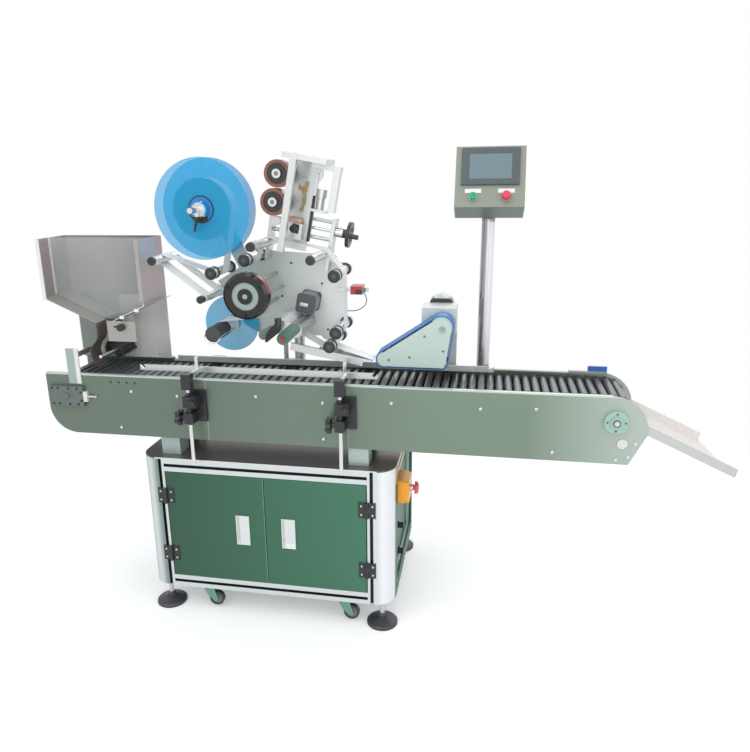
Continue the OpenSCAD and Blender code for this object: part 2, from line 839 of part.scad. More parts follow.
module side_plates() color("darkseagreen") place() {
    difference() {
        slab_y(cv_y, cv_in0) plate_outline();
        for (i = [0:3]) along_y([end_hole_x + i*end_hole_gap, end_hole_z], cv_y - over,
            cv_in0 + over, hole_r);
        along_y([plug_x, plug_z], cv_y - over, cv_in0 + over, plug_r);
    }
    slab_y(cv_in1, cv_back) plate_outline();
    for (y = [cv_in0, cv_in1 - flange_w + plate_t]) block([cv_x0, y, cv_top - plate_t],
        [cv_len - end_r, flange_w - plate_t, plate_t]);
    for (x = leg_xs) block([x, cv_in0, cv_bot], [tie_w, cv_in1 - cv_in0, tie_h]);
    track_z = shaft_z + pitch_r - roll_r - seat - track_t;
    track_len = drive_x - idler_x - 2*track_end;
    for (y = [cv_mid - cv_w/4, cv_mid + cv_w/4 - track_w])
        block([idler_x + track_end, y, track_z], [track_len, track_w, track_t]);
    for (i = [0:tie_count - 1])
        block([idler_x + track_end + i*(track_len - tie_h)/(tie_count - 1), cv_in0, track_z - tie_h],
            [tie_h, cv_in1 - cv_in0, tie_h]);
}

module conveyor_posts() color("lightcyan") place()
    for (x = leg_xs, y = leg_ys) translate([x, y, cab_h]) difference() {
        cube([leg_w, leg_w, cv_bot - cab_h]);
        block([leg_t, leg_t, leg_plate_t],
            [leg_w - 2*leg_t, leg_w - 2*leg_t, cv_bot - cab_h - 2*leg_plate_t]);
    }

// place of chain joint i on the loop, counted from the idler's top
function joint_at(i) = let (n = i % links)
    n < span ? [idler_x + n*chain_pitch, shaft_z + pitch_r]
    : n < span + teeth/2
        ? let (a = 90 - (n - span)*360/teeth)
            [drive_x + pitch_r*cos(a), shaft_z + pitch_r*sin(a)]
    : n < 2*span + teeth/2
        ? [drive_x - (n - span - teeth/2)*chain_pitch, shaft_z - pitch_r]
    : let (a = 270 - (n - 2*span - teeth/2)*360/teeth)
        [idler_x + pitch_r*cos(a), shaft_z + pitch_r*sin(a)];

module link_plate(a, b) {
    d = b - a;
    translate(a) rotate(atan2(d[1], d[0])) difference() {
        union() {
            circle(link_r, $fn = small);
            translate([chain_pitch, 0]) circle(link_r, $fn = small);
            translate([0, -0.8*link_r]) square([chain_pitch, 1.6*link_r]);
        }
        for (x = [0, chain_pitch]) translate([x, 0]) circle(pin_r + fit, $fn = small);
    }
}

module chain_plates() color("gray") place() for (i = [0:links - 1]) {
    row = (i % 2)*(link_t + link_gap);
    for (y = [bush_y - link_gap - link_t - row, bush_y + bush_w + link_gap + row,
        2*cv_mid - bush_y + link_gap + row, 2*cv_mid - bush_y - bush_w - link_gap - link_t - row])
            slab_y(y, y + link_t) link_plate(joint_at(i), joint_at(i + 1));
}

module conveyor_rollers() color("darkslategray") place() for (i = [0:links - 1]) {
    m = cv_mid;
    half = [[0, bush_y - pin_out], [pin_r, bush_y - pin_out], [pin_r, bush_y],
        [bush_r, bush_y], [bush_r, bush_y + bush_w], [pin_r, bush_y + bush_w],
        [pin_r, roll_y0], [roll_r - roll_step, roll_y0],
        [roll_r - roll_step, roll_y0 + roll_end], [roll_r, roll_y0 + roll_end + roll_step]];
    turned_y(joint_at(i), concat(half, [for (p = turned_list(half)) [p[0], 2*m - p[1]]]));
}

module sprocket() difference() {
    circle(tooth_r);
    for (i = [0:teeth - 1]) rotate(i*360/teeth) translate([0, pitch_r])
        circle(bush_r + seat, $fn = small);
}

module sprocket_shaft(x, y0, y1) {
    along_y([x, shaft_z], y0, y1, shaft_r);
    for (y = [bush_y + over, 2*cv_mid - bush_y - bush_w + over])
        slab_y(y, y + sprocket_w) translate([x, shaft_z]) sprocket();
    for (y = [bush_y + bush_w, 2*cv_mid - bush_y - bush_w - hub_w])
        along_y([x, shaft_z], y - over, y + hub_w + over, hub_r);
}

module drive_shaft() color("silver") place()
    sprocket_shaft(drive_x, cv_y - bearing_t - boss_t - shaft_nose, cv_back + gear_d + shaft_nose);
module idler_shaft() color("silver") place()
    sprocket_shaft(idler_x, cv_y - block_t - shaft_nose, cv_back + block_t + shaft_nose);

module conveyor_drive() color("mediumaquamarine") place() {
    difference() {
        union() {
            along_y([drive_x, shaft_z], cv_y - bearing_t, cv_y, bearing_r);
            along_y([drive_x, shaft_z], cv_y - bearing_t - boss_t, cv_y, boss_r);
        }
        along_y([drive_x, shaft_z], cv_y - bearing_t - boss_t - over, cv_y + over,
            shaft_r + fit);
        for (a = [0:90:270]) along_y([drive_x + 0.77*bearing_r*cos(a),
            shaft_z + 0.77*bearing_r*sin(a)], cv_y - bearing_t - over, cv_y + over, hole_r);
    }
    for (y = [cv_y - block_t, cv_back]) {
        difference() {
            union() {
                slab_y(y, y + block_t) translate([idler_x - block_back, shaft_z - block_h/2])
                    square([block_w, block_h]);
                slab_y(y, y + block_t) translate([idler_x - block_back + block_w,
                    shaft_z - block_h/4]) square([takeup_tab/3, block_h/2]);
            }
            along_y([idler_x, shaft_z], y - over, y + block_t + over, shaft_r + fit);
        }
        translate([idler_x - block_back + block_w + takeup_tab/3, y + block_t/2, shaft_z])
            rotate([0, 90, 0]) cylinder(r = block_t/4, h = 2*takeup_tab/3);
        translate([idler_x - block_back + block_w + takeup_tab, y + block_t/2, shaft_z])
            rotate([0, 90, 0]) cylinder(r = block_t/2, h = block_t/3, $fn = 6);
    }
    along_y([plug_x, plug_z], cv_y - plate_t, cv_in0, plug_r - seat);
    difference() {
        block([drive_x - gear_w/2, cv_back, shaft_z - gear_h + gear_w/2],
            [gear_w, gear_d, gear_h]);
        along_y([drive_x, shaft_z], cv_back - over, cv_back + gear_d + over, shaft_r + fit);
    }
    translate([drive_x, cv_back + gear_d/2, shaft_z - gear_h + gear_w/2 - gear_motor_len])
        difference() {
            cylinder(r = gear_motor_r, h = gear_motor_len);
            for (a = [0:30:330]) rotate(a) block([gear_motor_r - over, -over, gear_motor_len/8],
                [2*over, 2*over, 0.7*gear_motor_len]);
        }
}

// discharge chute: a folded tray with its tip's far corner cut back
module chute() color("gainsboro") place()
    translate([chute_x0, 0, chute_z0]) rotate([0, chute_slope, 0]) {
        linear_extrude(chute_t) polygon([[0, cv_in0], [chute_len, cv_in0],
            [chute_len - chute_short, cv_in1], [0, cv_in1]]);
        slab_y(cv_in0, cv_in0 + chute_t) polygon([[0, 0], [chute_len, 0],
            [chute_len - chute_wall/5, chute_wall], [0, chute_wall]]);
        slab_y(cv_in1 - chute_t, cv_in1) polygon([[0, 0], [chute_len - chute_short, 0],
            [chute_len - chute_short - chute_wall/5, chute_wall], [0, chute_wall]]);
    }

// guide rails
module guide_bar(x, y, len) translate([x, y, guide_z]) difference() {
    cube([len, guide_t, guide_h]);
    for (m = [0, 1]) translate([m*len, 0, 0]) mirror([m, 0, 0])
        rotate([0, 0, 0]) translate([-over, -over, guide_h]) rotate([0, 45, 0])
            cube([guide_h, guide_t + 2*over, guide_h/2]);
}

module guide_rails() color("silver") place() {
    guide_bar(guide_x0, lane_y0 - guide_t, guide_len);
    guide_bar(back_guide_x0, lane_back_y, back_guide_len);
    for (i = [0:3]) translate([back_guide_x0 + back_guide_len*(i + 0.5)/4 - bracket_w/2, 0, 0]) {
        block([0, lane_back_y + guide_t, guide_z],
            [bracket_w, cv_back - lane_back_y - guide_t - plate_t, bracket_t]);
        block([0, cv_back - plate_t - bracket_t, cv_top],
            [bracket_w, bracket_t, guide_z - cv_top]);
    }
}

module rail_clamp(x) {
    translate([x, rod_y, rod_low]) cylinder(r = rod_r, h = arm_z - rod_low);
    block([x - clamp_w/2, rod_y - clamp_d/2, arm_z - 0.8*clamp_h], [clamp_w, clamp_d, clamp_h]);
    along_y([x, arm_z], rod_y, lane_y0 - guide_t, arm_r);
    block([x - arm_r, lane_y0 - 2*guide_t - seat, guide_z + guide_h],
        [2*arm_r, 2*guide_t, post_holder_h - guide_h]);
    block([x - arm_r, lane_y0 - 2*guide_t - seat, guide_z], [2*arm_r, guide_t + seat, guide_h]);
    difference() {
        union() {
            block([x - rod_r, cv_y - lock_t, lock_z], [lock_w, lock_t, lock_h]);
            block([x - clamp_w/2, rod_y - clamp_d/2, star_z - grip_h/2],
                [clamp_w, cv_y - lock_t/2 - rod_y + clamp_d/2, grip_h]);
            block([x - clamp_w/2, rod_y - clamp_d/2, round_z - grip_h/2],
                [lock_w - rod_r, cv_y - lock_t/2 - rod_y + clamp_d/2, grip_h]);
        }
        translate([x - clamp_w/2 - over, rod_y, star_z]) rotate([0, 90, 0])
            cylinder(r = star_stem_r/2 + fit, h = clamp_w/2 - rod_r);
    }
    along_y([x + lock_w/2 - rod_r, round_z], rod_y - clamp_d/2 - knob_t, rod_y - clamp_d/2,
        knob_r);
}

module rail_clamps() color("dimgray") place() {
    rail_clamp(rod_left_x);
    rail_clamp(rod_right_x);
    block([sensor_x - sensor_w, cv_back - flange_w, cv_top], [2*sensor_w, sensor_d, sensor_h/3]);
    block([sensor_x, cv_back - flange_w + sensor_d/4, cv_top + sensor_h/3],
        [sensor_w, sensor_d/2, sensor_h]);
}

module star_knob(x) translate([x - clamp_w/2 - seat, rod_y, star_z]) rotate([0, -90, 0]) {
    translate([0, 0, -clamp_w/2 + rod_r + 2*over]) cylinder(r = star_stem_r/2,
        h = clamp_w/2 - rod_r);
    cylinder(r = star_stem_r, h = star_stem);
    translate([0, 0, star_stem]) linear_extrude(knob_t) difference() {
        circle(star_r);
        for (i = [0:4]) rotate(i*72) translate([star_r + star_stem_r/2, 0])
            circle(star_r/2);
    }
}
module star_knob_left() color("black") place() star_knob(rod_left_x);
module star_knob_right() color("black") place() star_knob(rod_right_x);

// hopper
module hopper() color("silver") place() {
    front_top = hop_z + hop_rise;
    // back sheet down to the conveyor, with its foot folded over the flange
    slab_y(hop_y1 - hop_t, hop_y1) polygon([[hop_x0, front_top], [hop_x1, front_top],
        [hop_x1, hop_z], [hop_x0 + ledge, hop_z], [hop_x0 + ledge, throat_z],
        [hop_x0, hop_z + hop_floor]]);
    block([hop_x0 + ledge, hop_y1, hop_z], [hop_w - ledge, flange_w, hop_t]);
    block([hop_x0, hop_y0, hop_z + hop_floor - hop_t], [hop_t, hop_d, hop_rise - hop_floor + hop_t]);
    block([hop_x1 - hop_t, hop_y0, right_top - hop_t], [hop_t, hop_d, front_top - right_top + hop_t]);
    for (x = [hop_x0, hop_x1 - hop_edge]) block([x, hop_y0, right_top + hop_edge],
        [hop_edge, hop_t, front_top - right_top - hop_edge]);
    // floors
    slab_y(hop_y0, hop_y1) polygon([[hop_x0, hop_z + hop_floor],
        [throat_x, throat_z], [throat_x, throat_z - hop_t], [hop_x0, hop_z + hop_floor - hop_t]]);
    slab_y(hop_y0, hop_y1) polygon([[throat_x + throat_w, throat_z],
        [hop_x1 + ledge, right_top + ledge*tan(hop_slope)],
        [hop_x1 + ledge, right_top + ledge*tan(hop_slope) - hop_t],
        [throat_x + throat_w, throat_z - hop_t]]);
    for (x = right_floor*[0.35, 0.75]) block([throat_x + throat_w + x, hop_y0 - hop_t,
        throat_z + x*tan(hop_slope) - clip_h], [clip_w, hop_t, 2*clip_h]);
    // curved guard that leads the cans round the feed wheel
    slab_y(window_y, hop_y1) {
        translate([throat_x - guard_t, feed_z + 0.9*guard_r])
            square([guard_t, throat_z - hop_t/2 - feed_z - 0.9*guard_r]);
        translate([feed_x, feed_z]) difference() {
            circle(guard_r + guard_t);
            circle(guard_r);
            translate([throat_x - feed_x, -2*guard_r]) square(4*guard_r);
            translate([-2*guard_r, -2.6*guard_r]) square([4*guard_r, 2*guard_r]);
        }
    }
    // front upright and its arm back to the guard
    block([bracket_x, cv_y - bracket_t, cv_top - 2*foot_fold],
        [bracket_w, bracket_t, bracket_top - cv_top + 2*foot_fold]);
    block([bracket_x, cv_y - bracket_t, feed_z - 2*bracket_t],
        [bracket_t, window_y - cv_y + 2*bracket_t, 4*bracket_t]);
    block([bracket_x, window_y, feed_z - 2*bracket_t],
        [feed_x - guard_r - guard_t/2 - bracket_x, bracket_t, 4*bracket_t]);
}

module hopper_window() color("lightblue", 0.4) place()
    slab_y(window_y, window_y + window_t) polygon([
        [hop_x0 + hop_t, hop_z + hop_rise], [hop_x1 - hop_t, hop_z + hop_rise],
        [hop_x1 - hop_t, right_top + seat], [throat_x + throat_w, throat_z + seat],
        [throat_x, throat_z + seat], [hop_x0 + hop_t, hop_z + hop_floor + seat]]);

module feed_wheel() color("dimgray") place() {
    along_y([feed_x, feed_z], hop_y0 - feed_r, hop_y1 - hop_t - seat, feed_shaft_r);
    slab_y(window_y + window_t, hop_y1 - hop_t - 2*seat) translate([feed_x, feed_z])
        difference() {
            circle(feed_r);
            for (i = [0:feed_pockets - 1]) rotate(i*360/feed_pockets)
                translate([feed_r, 0]) circle(feed_r/3);
        }
}

module gate_plate() color("silver") place() {
    x0 = throat_x + throat_w;
    difference() {
        slab_y(gate_y, gate_y + gate_t) translate([x0, gate_z]) square([gate_w, gate_h]);
        slab_y(gate_y - over, gate_y + gate_t + over)
            translate([x0 + gate_w/4, gate_z + 0.72*gate_h]) stadium(gate_slot, hole_r);
    }
    block([x0, gate_y + gate_t, gate_z], [gate_t, hop_d - 2*gate_t, gate_h/2]);
    along_y([x0 + 0.53*gate_w, gate_z + 0.72*gate_h], gate_y - knob_t, gate_y, knob_r);
}

// label head
module head_mast() color("silver") place() {
    block([mast_x - mast_block_w/2 - ledge, cv_back, mast_low],
        [mast_block_w, 2*mast_r + 2*plate_t + ledge, mast_block_h]);
    translate([mast_x, mast_y, mast_low + mast_block_h])
        cylinder(r = mast_r, h = mast_high - mast_low - mast_block_h);
    translate([screw_x, mast_y, mast_low + mast_block_h])
        cylinder(r = screw_r, h = mast_high - mast_low - mast_block_h);
}

module head_outline() difference() {
    union() {
        polygon([for (p = head_shares) [head_x + p[0]*head_w, head_z + p[1]*head_h]]);
        translate(rewind) circle(arm_w/2);
        for (c = [roller_k, roller_l, roller_m]) translate([c[0] - arm_w, c[1]])
            stadium(arm_w, guide_flange_r);
        translate([head_x + 0.3*head_w, head_z + 0.6*head_h]) rotate(
            atan2(reel_z - head_z - 0.6*head_h, reel_x - head_x - 0.3*head_w))
            stadium(norm([reel_x - head_x - 0.3*head_w, reel_z - head_z - 0.6*head_h]),
                arm_w/2);
    }
    translate([reel_x, reel_z]) circle(reel_shaft_r + fit);
    translate(rewind) circle(rewind_shaft_r + fit);
    for (c = [roller_b, roller_c, roller_k, roller_l, roller_m, drive_roll, nip_roll])
        translate(c) circle(axle_r + fit);
}

module head_plate() color("lightgray") place() {
    slab_y(head_y, head_back) head_outline();
    // carriage on the mast
    difference() {
        block([screw_x - slide_w/4, head_back, mast_high - slide_h - mast_r],
            [slide_w + mast_r, mast_y + mast_r + bracket_t - head_back, slide_h]);
        translate([mast_x, mast_y, mast_high - slide_h - mast_r - over])
            cylinder(r = mast_r + fit, h = slide_h + 2*over);
        translate([screw_x, mast_y, mast_high - slide_h - mast_r - over])
            cylinder(r = screw_r + fit, h = slide_h + 2*over);
    }
}

module plain_bar(at) {
    along_y(at, bar_front, head_y, bar_r);
    along_y(at, bar_front - cap_t, bar_front, bar_r - over);
}

module uv(u, v) translate([coder_x, 0, coder_z]) rotate([0, coder_tilt, 0])
    translate([u, 0, v]) children();

module head_hardware() color("silver") place() {
    plain_bar(bar_a);
    plain_bar(bar_j);
    // dancer pivot bar with its neck and knob
    along_y([dancer_x, dancer_z], dancer_bar_y, head_y, dancer_bar_r);
    along_y([dancer_x, dancer_z], dancer_bar_y - 2*cap_t, dancer_bar_y, reel_shaft_r);
    along_y([dancer_x, dancer_z], dancer_bar_y - 4*cap_t, dancer_bar_y - 2*cap_t, knob_r);
    // tension wheel's back flange on three standoffs
    for (a = [50, 0, -50]) along_y([tension[0] + standoff_ring*cos(a),
        tension[1] + standoff_ring*sin(a)], tension_y + tension_w + back_flange_t,
        head_y, standoff_r);
    difference() {
        along_y(tension, tension_y + tension_w + seat, tension_y + tension_w + back_flange_t,
            tension_r - tension_w/6);
        along_y(tension, tension_y, tension_y + tension_w + 2*back_flange_t, reel_shaft_r + fit);
    }
    // front link of the driven roller
    d = drive_roll - nip_roll;
    difference() {
        slab_y(roller_y0 - end_link_t - seat, roller_y0 - seat) translate(nip_roll)
            rotate(atan2(d[1], d[0])) stadium(norm(d), nip_r - 2*over);
        for (c = [drive_roll, nip_roll]) along_y(c, 0, roller_y0 + over, axle_r + fit);
    }
    along_y([(drive_roll[0] + nip_roll[0])/2, drive_roll[1] - nip_r - standoff_r - over],
        roller_y0 - end_link_t - seat, head_y, standoff_r);
    slab_y(roller_y0 - end_link_t - seat, roller_y0 - seat) translate(
        [(drive_roll[0] + nip_roll[0])/2 - standoff_r, drive_roll[1] - nip_r - 2*standoff_r - over])
            square([2*standoff_r, nip_r]);
    // label gap sensor on the plate's right edge
    block([roller_k[0] - sensor_arm/2, head_y - bracket_t, roller_k[1] - eye_w*2],
        [2*sensor_arm, bracket_t, eye_h/2]);
    block([roller_k[0] + sensor_arm/2, web_y1 + web_t, roller_k[1] - eye_w*2],
        [eye_w, head_y - bracket_t - web_y1 - web_t, eye_h]);
    // supports, rods and screw nut plates of the coder slide
    difference() {
        for (u = [left_u, end_u]) uv(u, -coder_foot) block([0, web_y1 + cap_t, 0],
            [end_t, head_y - web_y1 - cap_t, coder_foot + rail_v_high + slider_d/2]);
        for (v = [rail_v_low, rail_v_high]) uv(left_u - over, v) translate([0, rail_y, 0])
            rotate([0, 90, 0]) cylinder(r = rail_r, h = end_u - left_u + 2*end_t);
        uv(end_u - over, screw_v) translate([0, rail_y, 0]) rotate([0, 90, 0])
            cylinder(r = axle_r + fit, h = end_t + 2*over);
    }
    for (v = [rail_v_low, rail_v_high]) uv(left_u, v) translate([0, rail_y, 0])
        rotate([0, 90, 0]) cylinder(r = rail_r, h = end_u - left_u + end_t);
}

module supply_reel() color("deepskyblue", 0.6) place() {
    at = [reel_x, reel_z];
    for (y = [reel_disc_y, web_y1 + seat]) difference() {
        along_y(at, y, y + disc_t, reel_r);
        along_y(at, y - over, y + disc_t + over, core_r - over);
    }
    turned_y(at, [[0, reel_nose], [reel_shaft_r, reel_nose], [reel_shaft_r, reel_disc_y - collar_d],
        [collar_r, reel_disc_y - collar_d], [collar_r, reel_disc_y - over],
        [core_r, reel_disc_y - over], [core_r, web_y1 + seat + disc_t + over],
        [collar_r, web_y1 + seat + disc_t + over], [collar_r, head_y - 2*collar_d],
        [reel_shaft_r, head_y - 2*collar_d], [reel_shaft_r, head_back + boss_t],
        [0, head_back + boss_t]]);
    translate([reel_x, reel_disc_y - collar_d/2, reel_z]) rotate([0, 195, 0])
        translate([0, -collar_d/4 - lever_r, 0]) {
            cylinder(r1 = lever_r, r2 = 0.7*lever_r, h = lever_len);
            cylinder(r = 1.5*lever_r, h = collar_r);
        }
}

module label_roll() color("white") place() difference() {
    along_y([reel_x, reel_z], web_y0, web_y1, label_r);
    along_y([reel_x, reel_z], web_y0 - over, web_y1 + over, core_r + fit);
}

module dancer_arm() color("lightgray") place() {
    y1 = head_y - seat;
    y0 = y1 - dancer_arm_t;
    difference() {
        union() {
            slab_y(y0, y1) translate([dancer_x, dancer_z]) rotate(180 - dancer_rise)
                stadium(dancer_len, dancer_arm_w/2);
            along_y([dancer_x, dancer_z], y0 - dancer_arm_t, y1, 0.8*dancer_arm_w);
        }
        along_y([dancer_x, dancer_z], y0 - 2*dancer_arm_t, y1 + over, dancer_bar_r + fit);
    }
    turned_y([dancer_x1, dancer_z1], [[0, roller_y0 - cap_t], [guide_roll_r - over,
        roller_y0 - cap_t], [guide_roll_r - over, roller_y0], [guide_roll_r, roller_y0],
        [guide_roll_r, y0], [0, y0]]);
}

// a flanged guide roller on its axle, which turns in the head plate
module guide_roller(at, y0) color("dimgray") place() turned_y(at, [[0, y0 - cap_t],
    [guide_flange_r - cap_t/2, y0 - cap_t], [guide_flange_r, y0 - cap_t/2],
    [guide_flange_r, y0 + flange_t - cap_t/2], [guide_roll_r, y0 + flange_t],
    [guide_roll_r, head_y - 2*flange_t], [guide_flange_r, head_y - 1.6*flange_t],
    [guide_flange_r, head_y - flange_t + over], [axle_r, head_y - flange_t + over],
    [axle_r, head_back], [0, head_back]]);
module guide_roller_1() guide_roller(roller_b, roller_y0);
module guide_roller_2() guide_roller(roller_c, roller_y0);
module guide_roller_3() guide_roller(roller_k, roller_y0);
module guide_roller_4() guide_roller(roller_l, roller_y0);
module guide_roller_5() guide_roller(roller_m, roller_y0);

module pair_roller(at, r) turned_y(at, [[0, roller_y0 - end_link_t - 2*over],
    [axle_r, roller_y0 - end_link_t - 2*over], [axle_r, roller_y0], [r, roller_y0],
    [r, head_y - flange_t], [axle_r, head_y - flange_t], [axle_r, head_back], [0, head_back]]);
module drive_roller() color("silver") place() pair_roller(drive_roll, drive_roll_r);
module nip_roller() color("whitesmoke") place() pair_roller(nip_roll, nip_r);

module rewind_reel() color("skyblue", 0.6) place() {
    difference() {
        along_y(rewind, rewind_y, rewind_y + disc_t, rewind_r);
        along_y(rewind, rewind_y - over, rewind_y + disc_t + over, mandrel_r - over);
    }
    turned_y(rewind, [[0, mandrel_y], [mandrel_r - 2*over, mandrel_y],
        [mandrel_r, mandrel_y + 2*over], [mandrel_r, mandrel_y + mandrel_grip],
        [mandrel_r - over, mandrel_y + mandrel_grip], [mandrel_r - over, rewind_y - cap_t],
        [mandrel_r + over, rewind_y - cap_t], [mandrel_r + over, rewind_y + disc_t],
        [rewind_shaft_r, rewind_y + disc_t], [rewind_shaft_r, head_back], [0, head_back]]);
}

module tension_wheel() color("black") place() {
    y0 = tension_y;
    difference() {
        turned_y(tension, [[0, y0], [tension_hub_r, y0], [tension_hub_r + over, y0 + cap_t/2],
            [tension_ring_r, y0 + cap_t/2], [tension_ring_r + over, y0],
            [tension_r - cap_t, y0], [tension_r, y0 + cap_t],
            [tension_r, y0 + tension_w - cap_t/2], [tension_r - cap_t/2, y0 + tension_w],
            [reel_shaft_r, y0 + tension_w], [reel_shaft_r, y0 + tension_w + back_flange_t],
            [0, y0 + tension_w + back_flange_t]]);
        for (a = [30:120:270]) rotate([0, 0, 0]) translate([tension[0], y0 - over, tension[1]])
            rotate([0, -a, 0]) translate([(tension_ring_r + tension_r)/2, cap_t/2, 0])
                rotate([-90, 0, 0]) cylinder(r = cap_t/2, h = cap_t, center = true);
    }
}

module head_motor() color("dimgray") place() {
    w = motor_w/2;
    for (y = [head_y - motor_len, head_y - cap_t]) slab_y(y, y + cap_t)
        translate(motor_at) rotate(-coder_tilt) difference() {
            square(motor_w, center = true);
            for (a = [0:90:270]) rotate(a) translate([w, w]) rotate(45)
                square(motor_cut, center = true);
        }
    slab_y(head_y - motor_len + cap_t, head_y - cap_t) translate(motor_at)
        rotate(-coder_tilt) difference() {
            square(motor_w - over, center = true);
            for (a = [0:90:270]) rotate(a) translate([w, w]) rotate(45)
                square(2*motor_cut, center = true);
        }
}

module peel_plate() color("silver") place()
    translate([peel_x, 0, peel_z]) rotate([0, peel_slope, 0]) {
        difference() {
            block([0, peel_y0, -peel_bar], [peel_len - peel_bar, peel_bar_t, peel_bar]);
            translate([peel_len - 2*peel_bar, peel_y0 - over, -peel_bar]) rotate([0, 30, 0])
                block([0, 0, -peel_bar], [2*peel_bar, peel_bar_t + 2*over, peel_bar]);
        }
        slab_y(peel_y0, head_y - over) polygon([[peel_len/2, -peel_t], [peel_len - peel_bar, -peel_t],
            [peel_len, -peel_t/2], [peel_len, 0], [peel_len/2, 0]]);
        slab_y(peel_y0 + peel_bar_t, head_y) polygon([[peel_len/3, -peel_bar],
            [peel_len/3 + peel_bar, -peel_bar], [peel_len/3 + peel_bar, -peel_t],
            [peel_len/3, -peel_t]]);
    }

// The web's run: supply roll, dancer, coder bars, peel tip, driven pair and rewind
module label_web() color("white") place() {
    g = web_ring;
    r = guide_roll_r + g;
    edge = [peel_x, peel_z] + peel_len/2*[cos(peel_slope), -sin(peel_slope)];
    tip = [peel_x, peel_z] + peel_len*[cos(peel_slope), -sin(peel_slope)];
    run = open_path([
        concat([reel_x, reel_z], [label_r + g, -1]),
        concat(roller_c, [r, -1]),
        [dancer_x1, dancer_z1, r, 1],
        [dancer_x, dancer_z, dancer_bar_r + g, 1],
        concat(roller_b, [r, 1]),
        concat(bar_a, [bar_r + g, -1]),
        concat(bar_j, [bar_r + g, -1]),
        concat(roller_k, [r, -1]),
        concat(roller_l, [r, -1]),
        concat(roller_m, [r, 1]),
        [tip[0] + 2*g, tip[1] - peel_t/2, peel_t/2 + g, -1],
        [edge[0], edge[1] - peel_t/2, peel_t/2 + g, -1],
        concat(drive_roll, [drive_roll_r + g, -1]),
        concat(nip_roll, [nip_r + g, 1]),
        concat(rewind, [mandrel_r + g, 1])], 0, -90, 16);
    slab_y(web_y0, web_y1) polygon(concat(side(run, web_t/2), turned_list(side(run, -web_t/2))));
}

// date coder
module coder_frame() color("lightgray") place() {
    y0 = coder_plate_y;
    v1 = coder_h - gantry_t;
    uv(0, 0) {
        difference() {
            union() {
                slab_y(y0, y0 + coder_plate_t) {
                    translate([-cap_t, 0]) square([coder_plate_w, v1 - gantry_t]);
                    translate([coder_plate_w - 2*cap_t, v1 - 2*gantry_t]) circle(1.8*gantry_t);
                    for (i = [0, 1]) translate([reel_u, ribbon_low_v + i*ribbon_gap]) {
                        circle(ribbon_core_r + over);
                        translate([0, -ribbon_core_r]) square([-reel_u, 2*ribbon_core_r]);
                    }
                }
                block([0, y0 + coder_plate_t, rail_v_low - slider_d/2],
                    [slider_w, slider_d, rail_v_high - rail_v_low + slider_d]);
            }
            for (v = [rail_v_low, rail_v_high]) translate([-over, rail_y, v])
                rotate([0, 90, 0]) cylinder(r = rail_r + fit, h = slider_w + 2*over);
            translate([-over, rail_y, screw_v]) rotate([0, 90, 0])
                cylinder(r = axle_r + fit, h = slider_w + 2*over);
            for (i = [0, 1]) along_y([reel_u, ribbon_low_v + i*ribbon_gap], y0 - over,
                y0 + coder_plate_t + over, axle_r + fit);
        }
        // front bar, top bar, shoulder and right leg
        block([over, bar_y, 0], [bar_w, bar_w - 2*over, v1]);
        block([-gantry_t - cap_t, bar_y, v1],
            [coder_plate_w + 2*bar_w + gantry_t + cap_t, y0 - bar_y + coder_plate_t, gantry_t]);
        block([coder_plate_w - gantry_t, y0 - 3*gantry_t, v1 - gantry_t],
            [coder_plate_w + gantry_t + over, 2*gantry_t + over, gantry_t]);
        block([2*coder_plate_w - bar_w, y0 - 3*gantry_t, ribbon_low_v],
            [bar_w, 2*gantry_t, v1 - gantry_t - ribbon_low_v]);
        block([-cap_t, y0, v1 - gantry_t], [coder_plate_w, coder_plate_t, gantry_t]);
        // slide strip, stamp block and pressure cylinder
        block([coder_plate_w - cap_t, y0 - cap_t, 2*gantry_t],
            [cap_t, cap_t + coder_plate_t, v1 - 4*gantry_t]);
        block([bar_w, y0 - 2*bar_w, 2.2*gantry_t], [coder_plate_w - 2*bar_w, 2*bar_w, 3*gantry_t]);
        along_y([bar_w + cap_t, 4.2*gantry_t], y0 - 2*bar_w - knob_t, y0 - 2*bar_w, knob_r);
        along_y([coder_plate_w/2 - cap_t, v1 - 4*gantry_t], y0 - cap_t, y0, 1.5*cap_t);
        translate([coder_plate_w + bar_w, y0 - gantry_t, ribbon_low_v]) {
            cylinder(r = 0.8*gantry_t, h = 2.2*gantry_t);
            translate([0, 0, 2.2*gantry_t]) cylinder(r = gantry_t, h = 1.5*gantry_t);
        }
        block([coder_plate_w - cap_t, y0 - 2*gantry_t, ribbon_low_v - gantry_t/2],
            [bar_w + 2*cap_t + gantry_t, 2*gantry_t + coder_plate_t, gantry_t/2]);
        // ribbon guide wheel and its small arm
        along_y([reel_u/2 - cap_t, rail_v_high - 1.3*gantry_t], y0 - 3*gantry_t, y0, axle_r);
        along_y([reel_u/2 - cap_t, rail_v_high - 1.3*gantry_t], y0 - 3.4*gantry_t,
            y0 - 2.6*gantry_t, knob_r + 2*over);
        block([reel_u/2 - 2*cap_t, y0, rail_v_high - 1.8*gantry_t],
            [-reel_u/2 + cap_t, coder_plate_t, gantry_t]);
    }
}

module ribbon_reel(i) uv(0, 0) turned_y([reel_u, ribbon_low_v + i*ribbon_gap], [[0, ribbon_y - cap_t],
    [ribbon_core_r, ribbon_y - cap_t], [ribbon_core_r, ribbon_y], [ribbon_inner_r, ribbon_y],
    [ribbon_inner_r, ribbon_y - over], [ribbon_r, ribbon_y - over],
    [ribbon_r, ribbon_y + ribbon_w], [ribbon_core_r, ribbon_y + ribbon_w],
    [ribbon_core_r, coder_plate_y - seat], [axle_r, coder_plate_y - seat],
    [axle_r, coder_plate_y + coder_plate_t], [0, coder_plate_y + coder_plate_t]]);
module ribbon_reel_upper() color("saddlebrown") place() ribbon_reel(1);
module ribbon_reel_lower() color("saddlebrown") place() ribbon_reel(0);

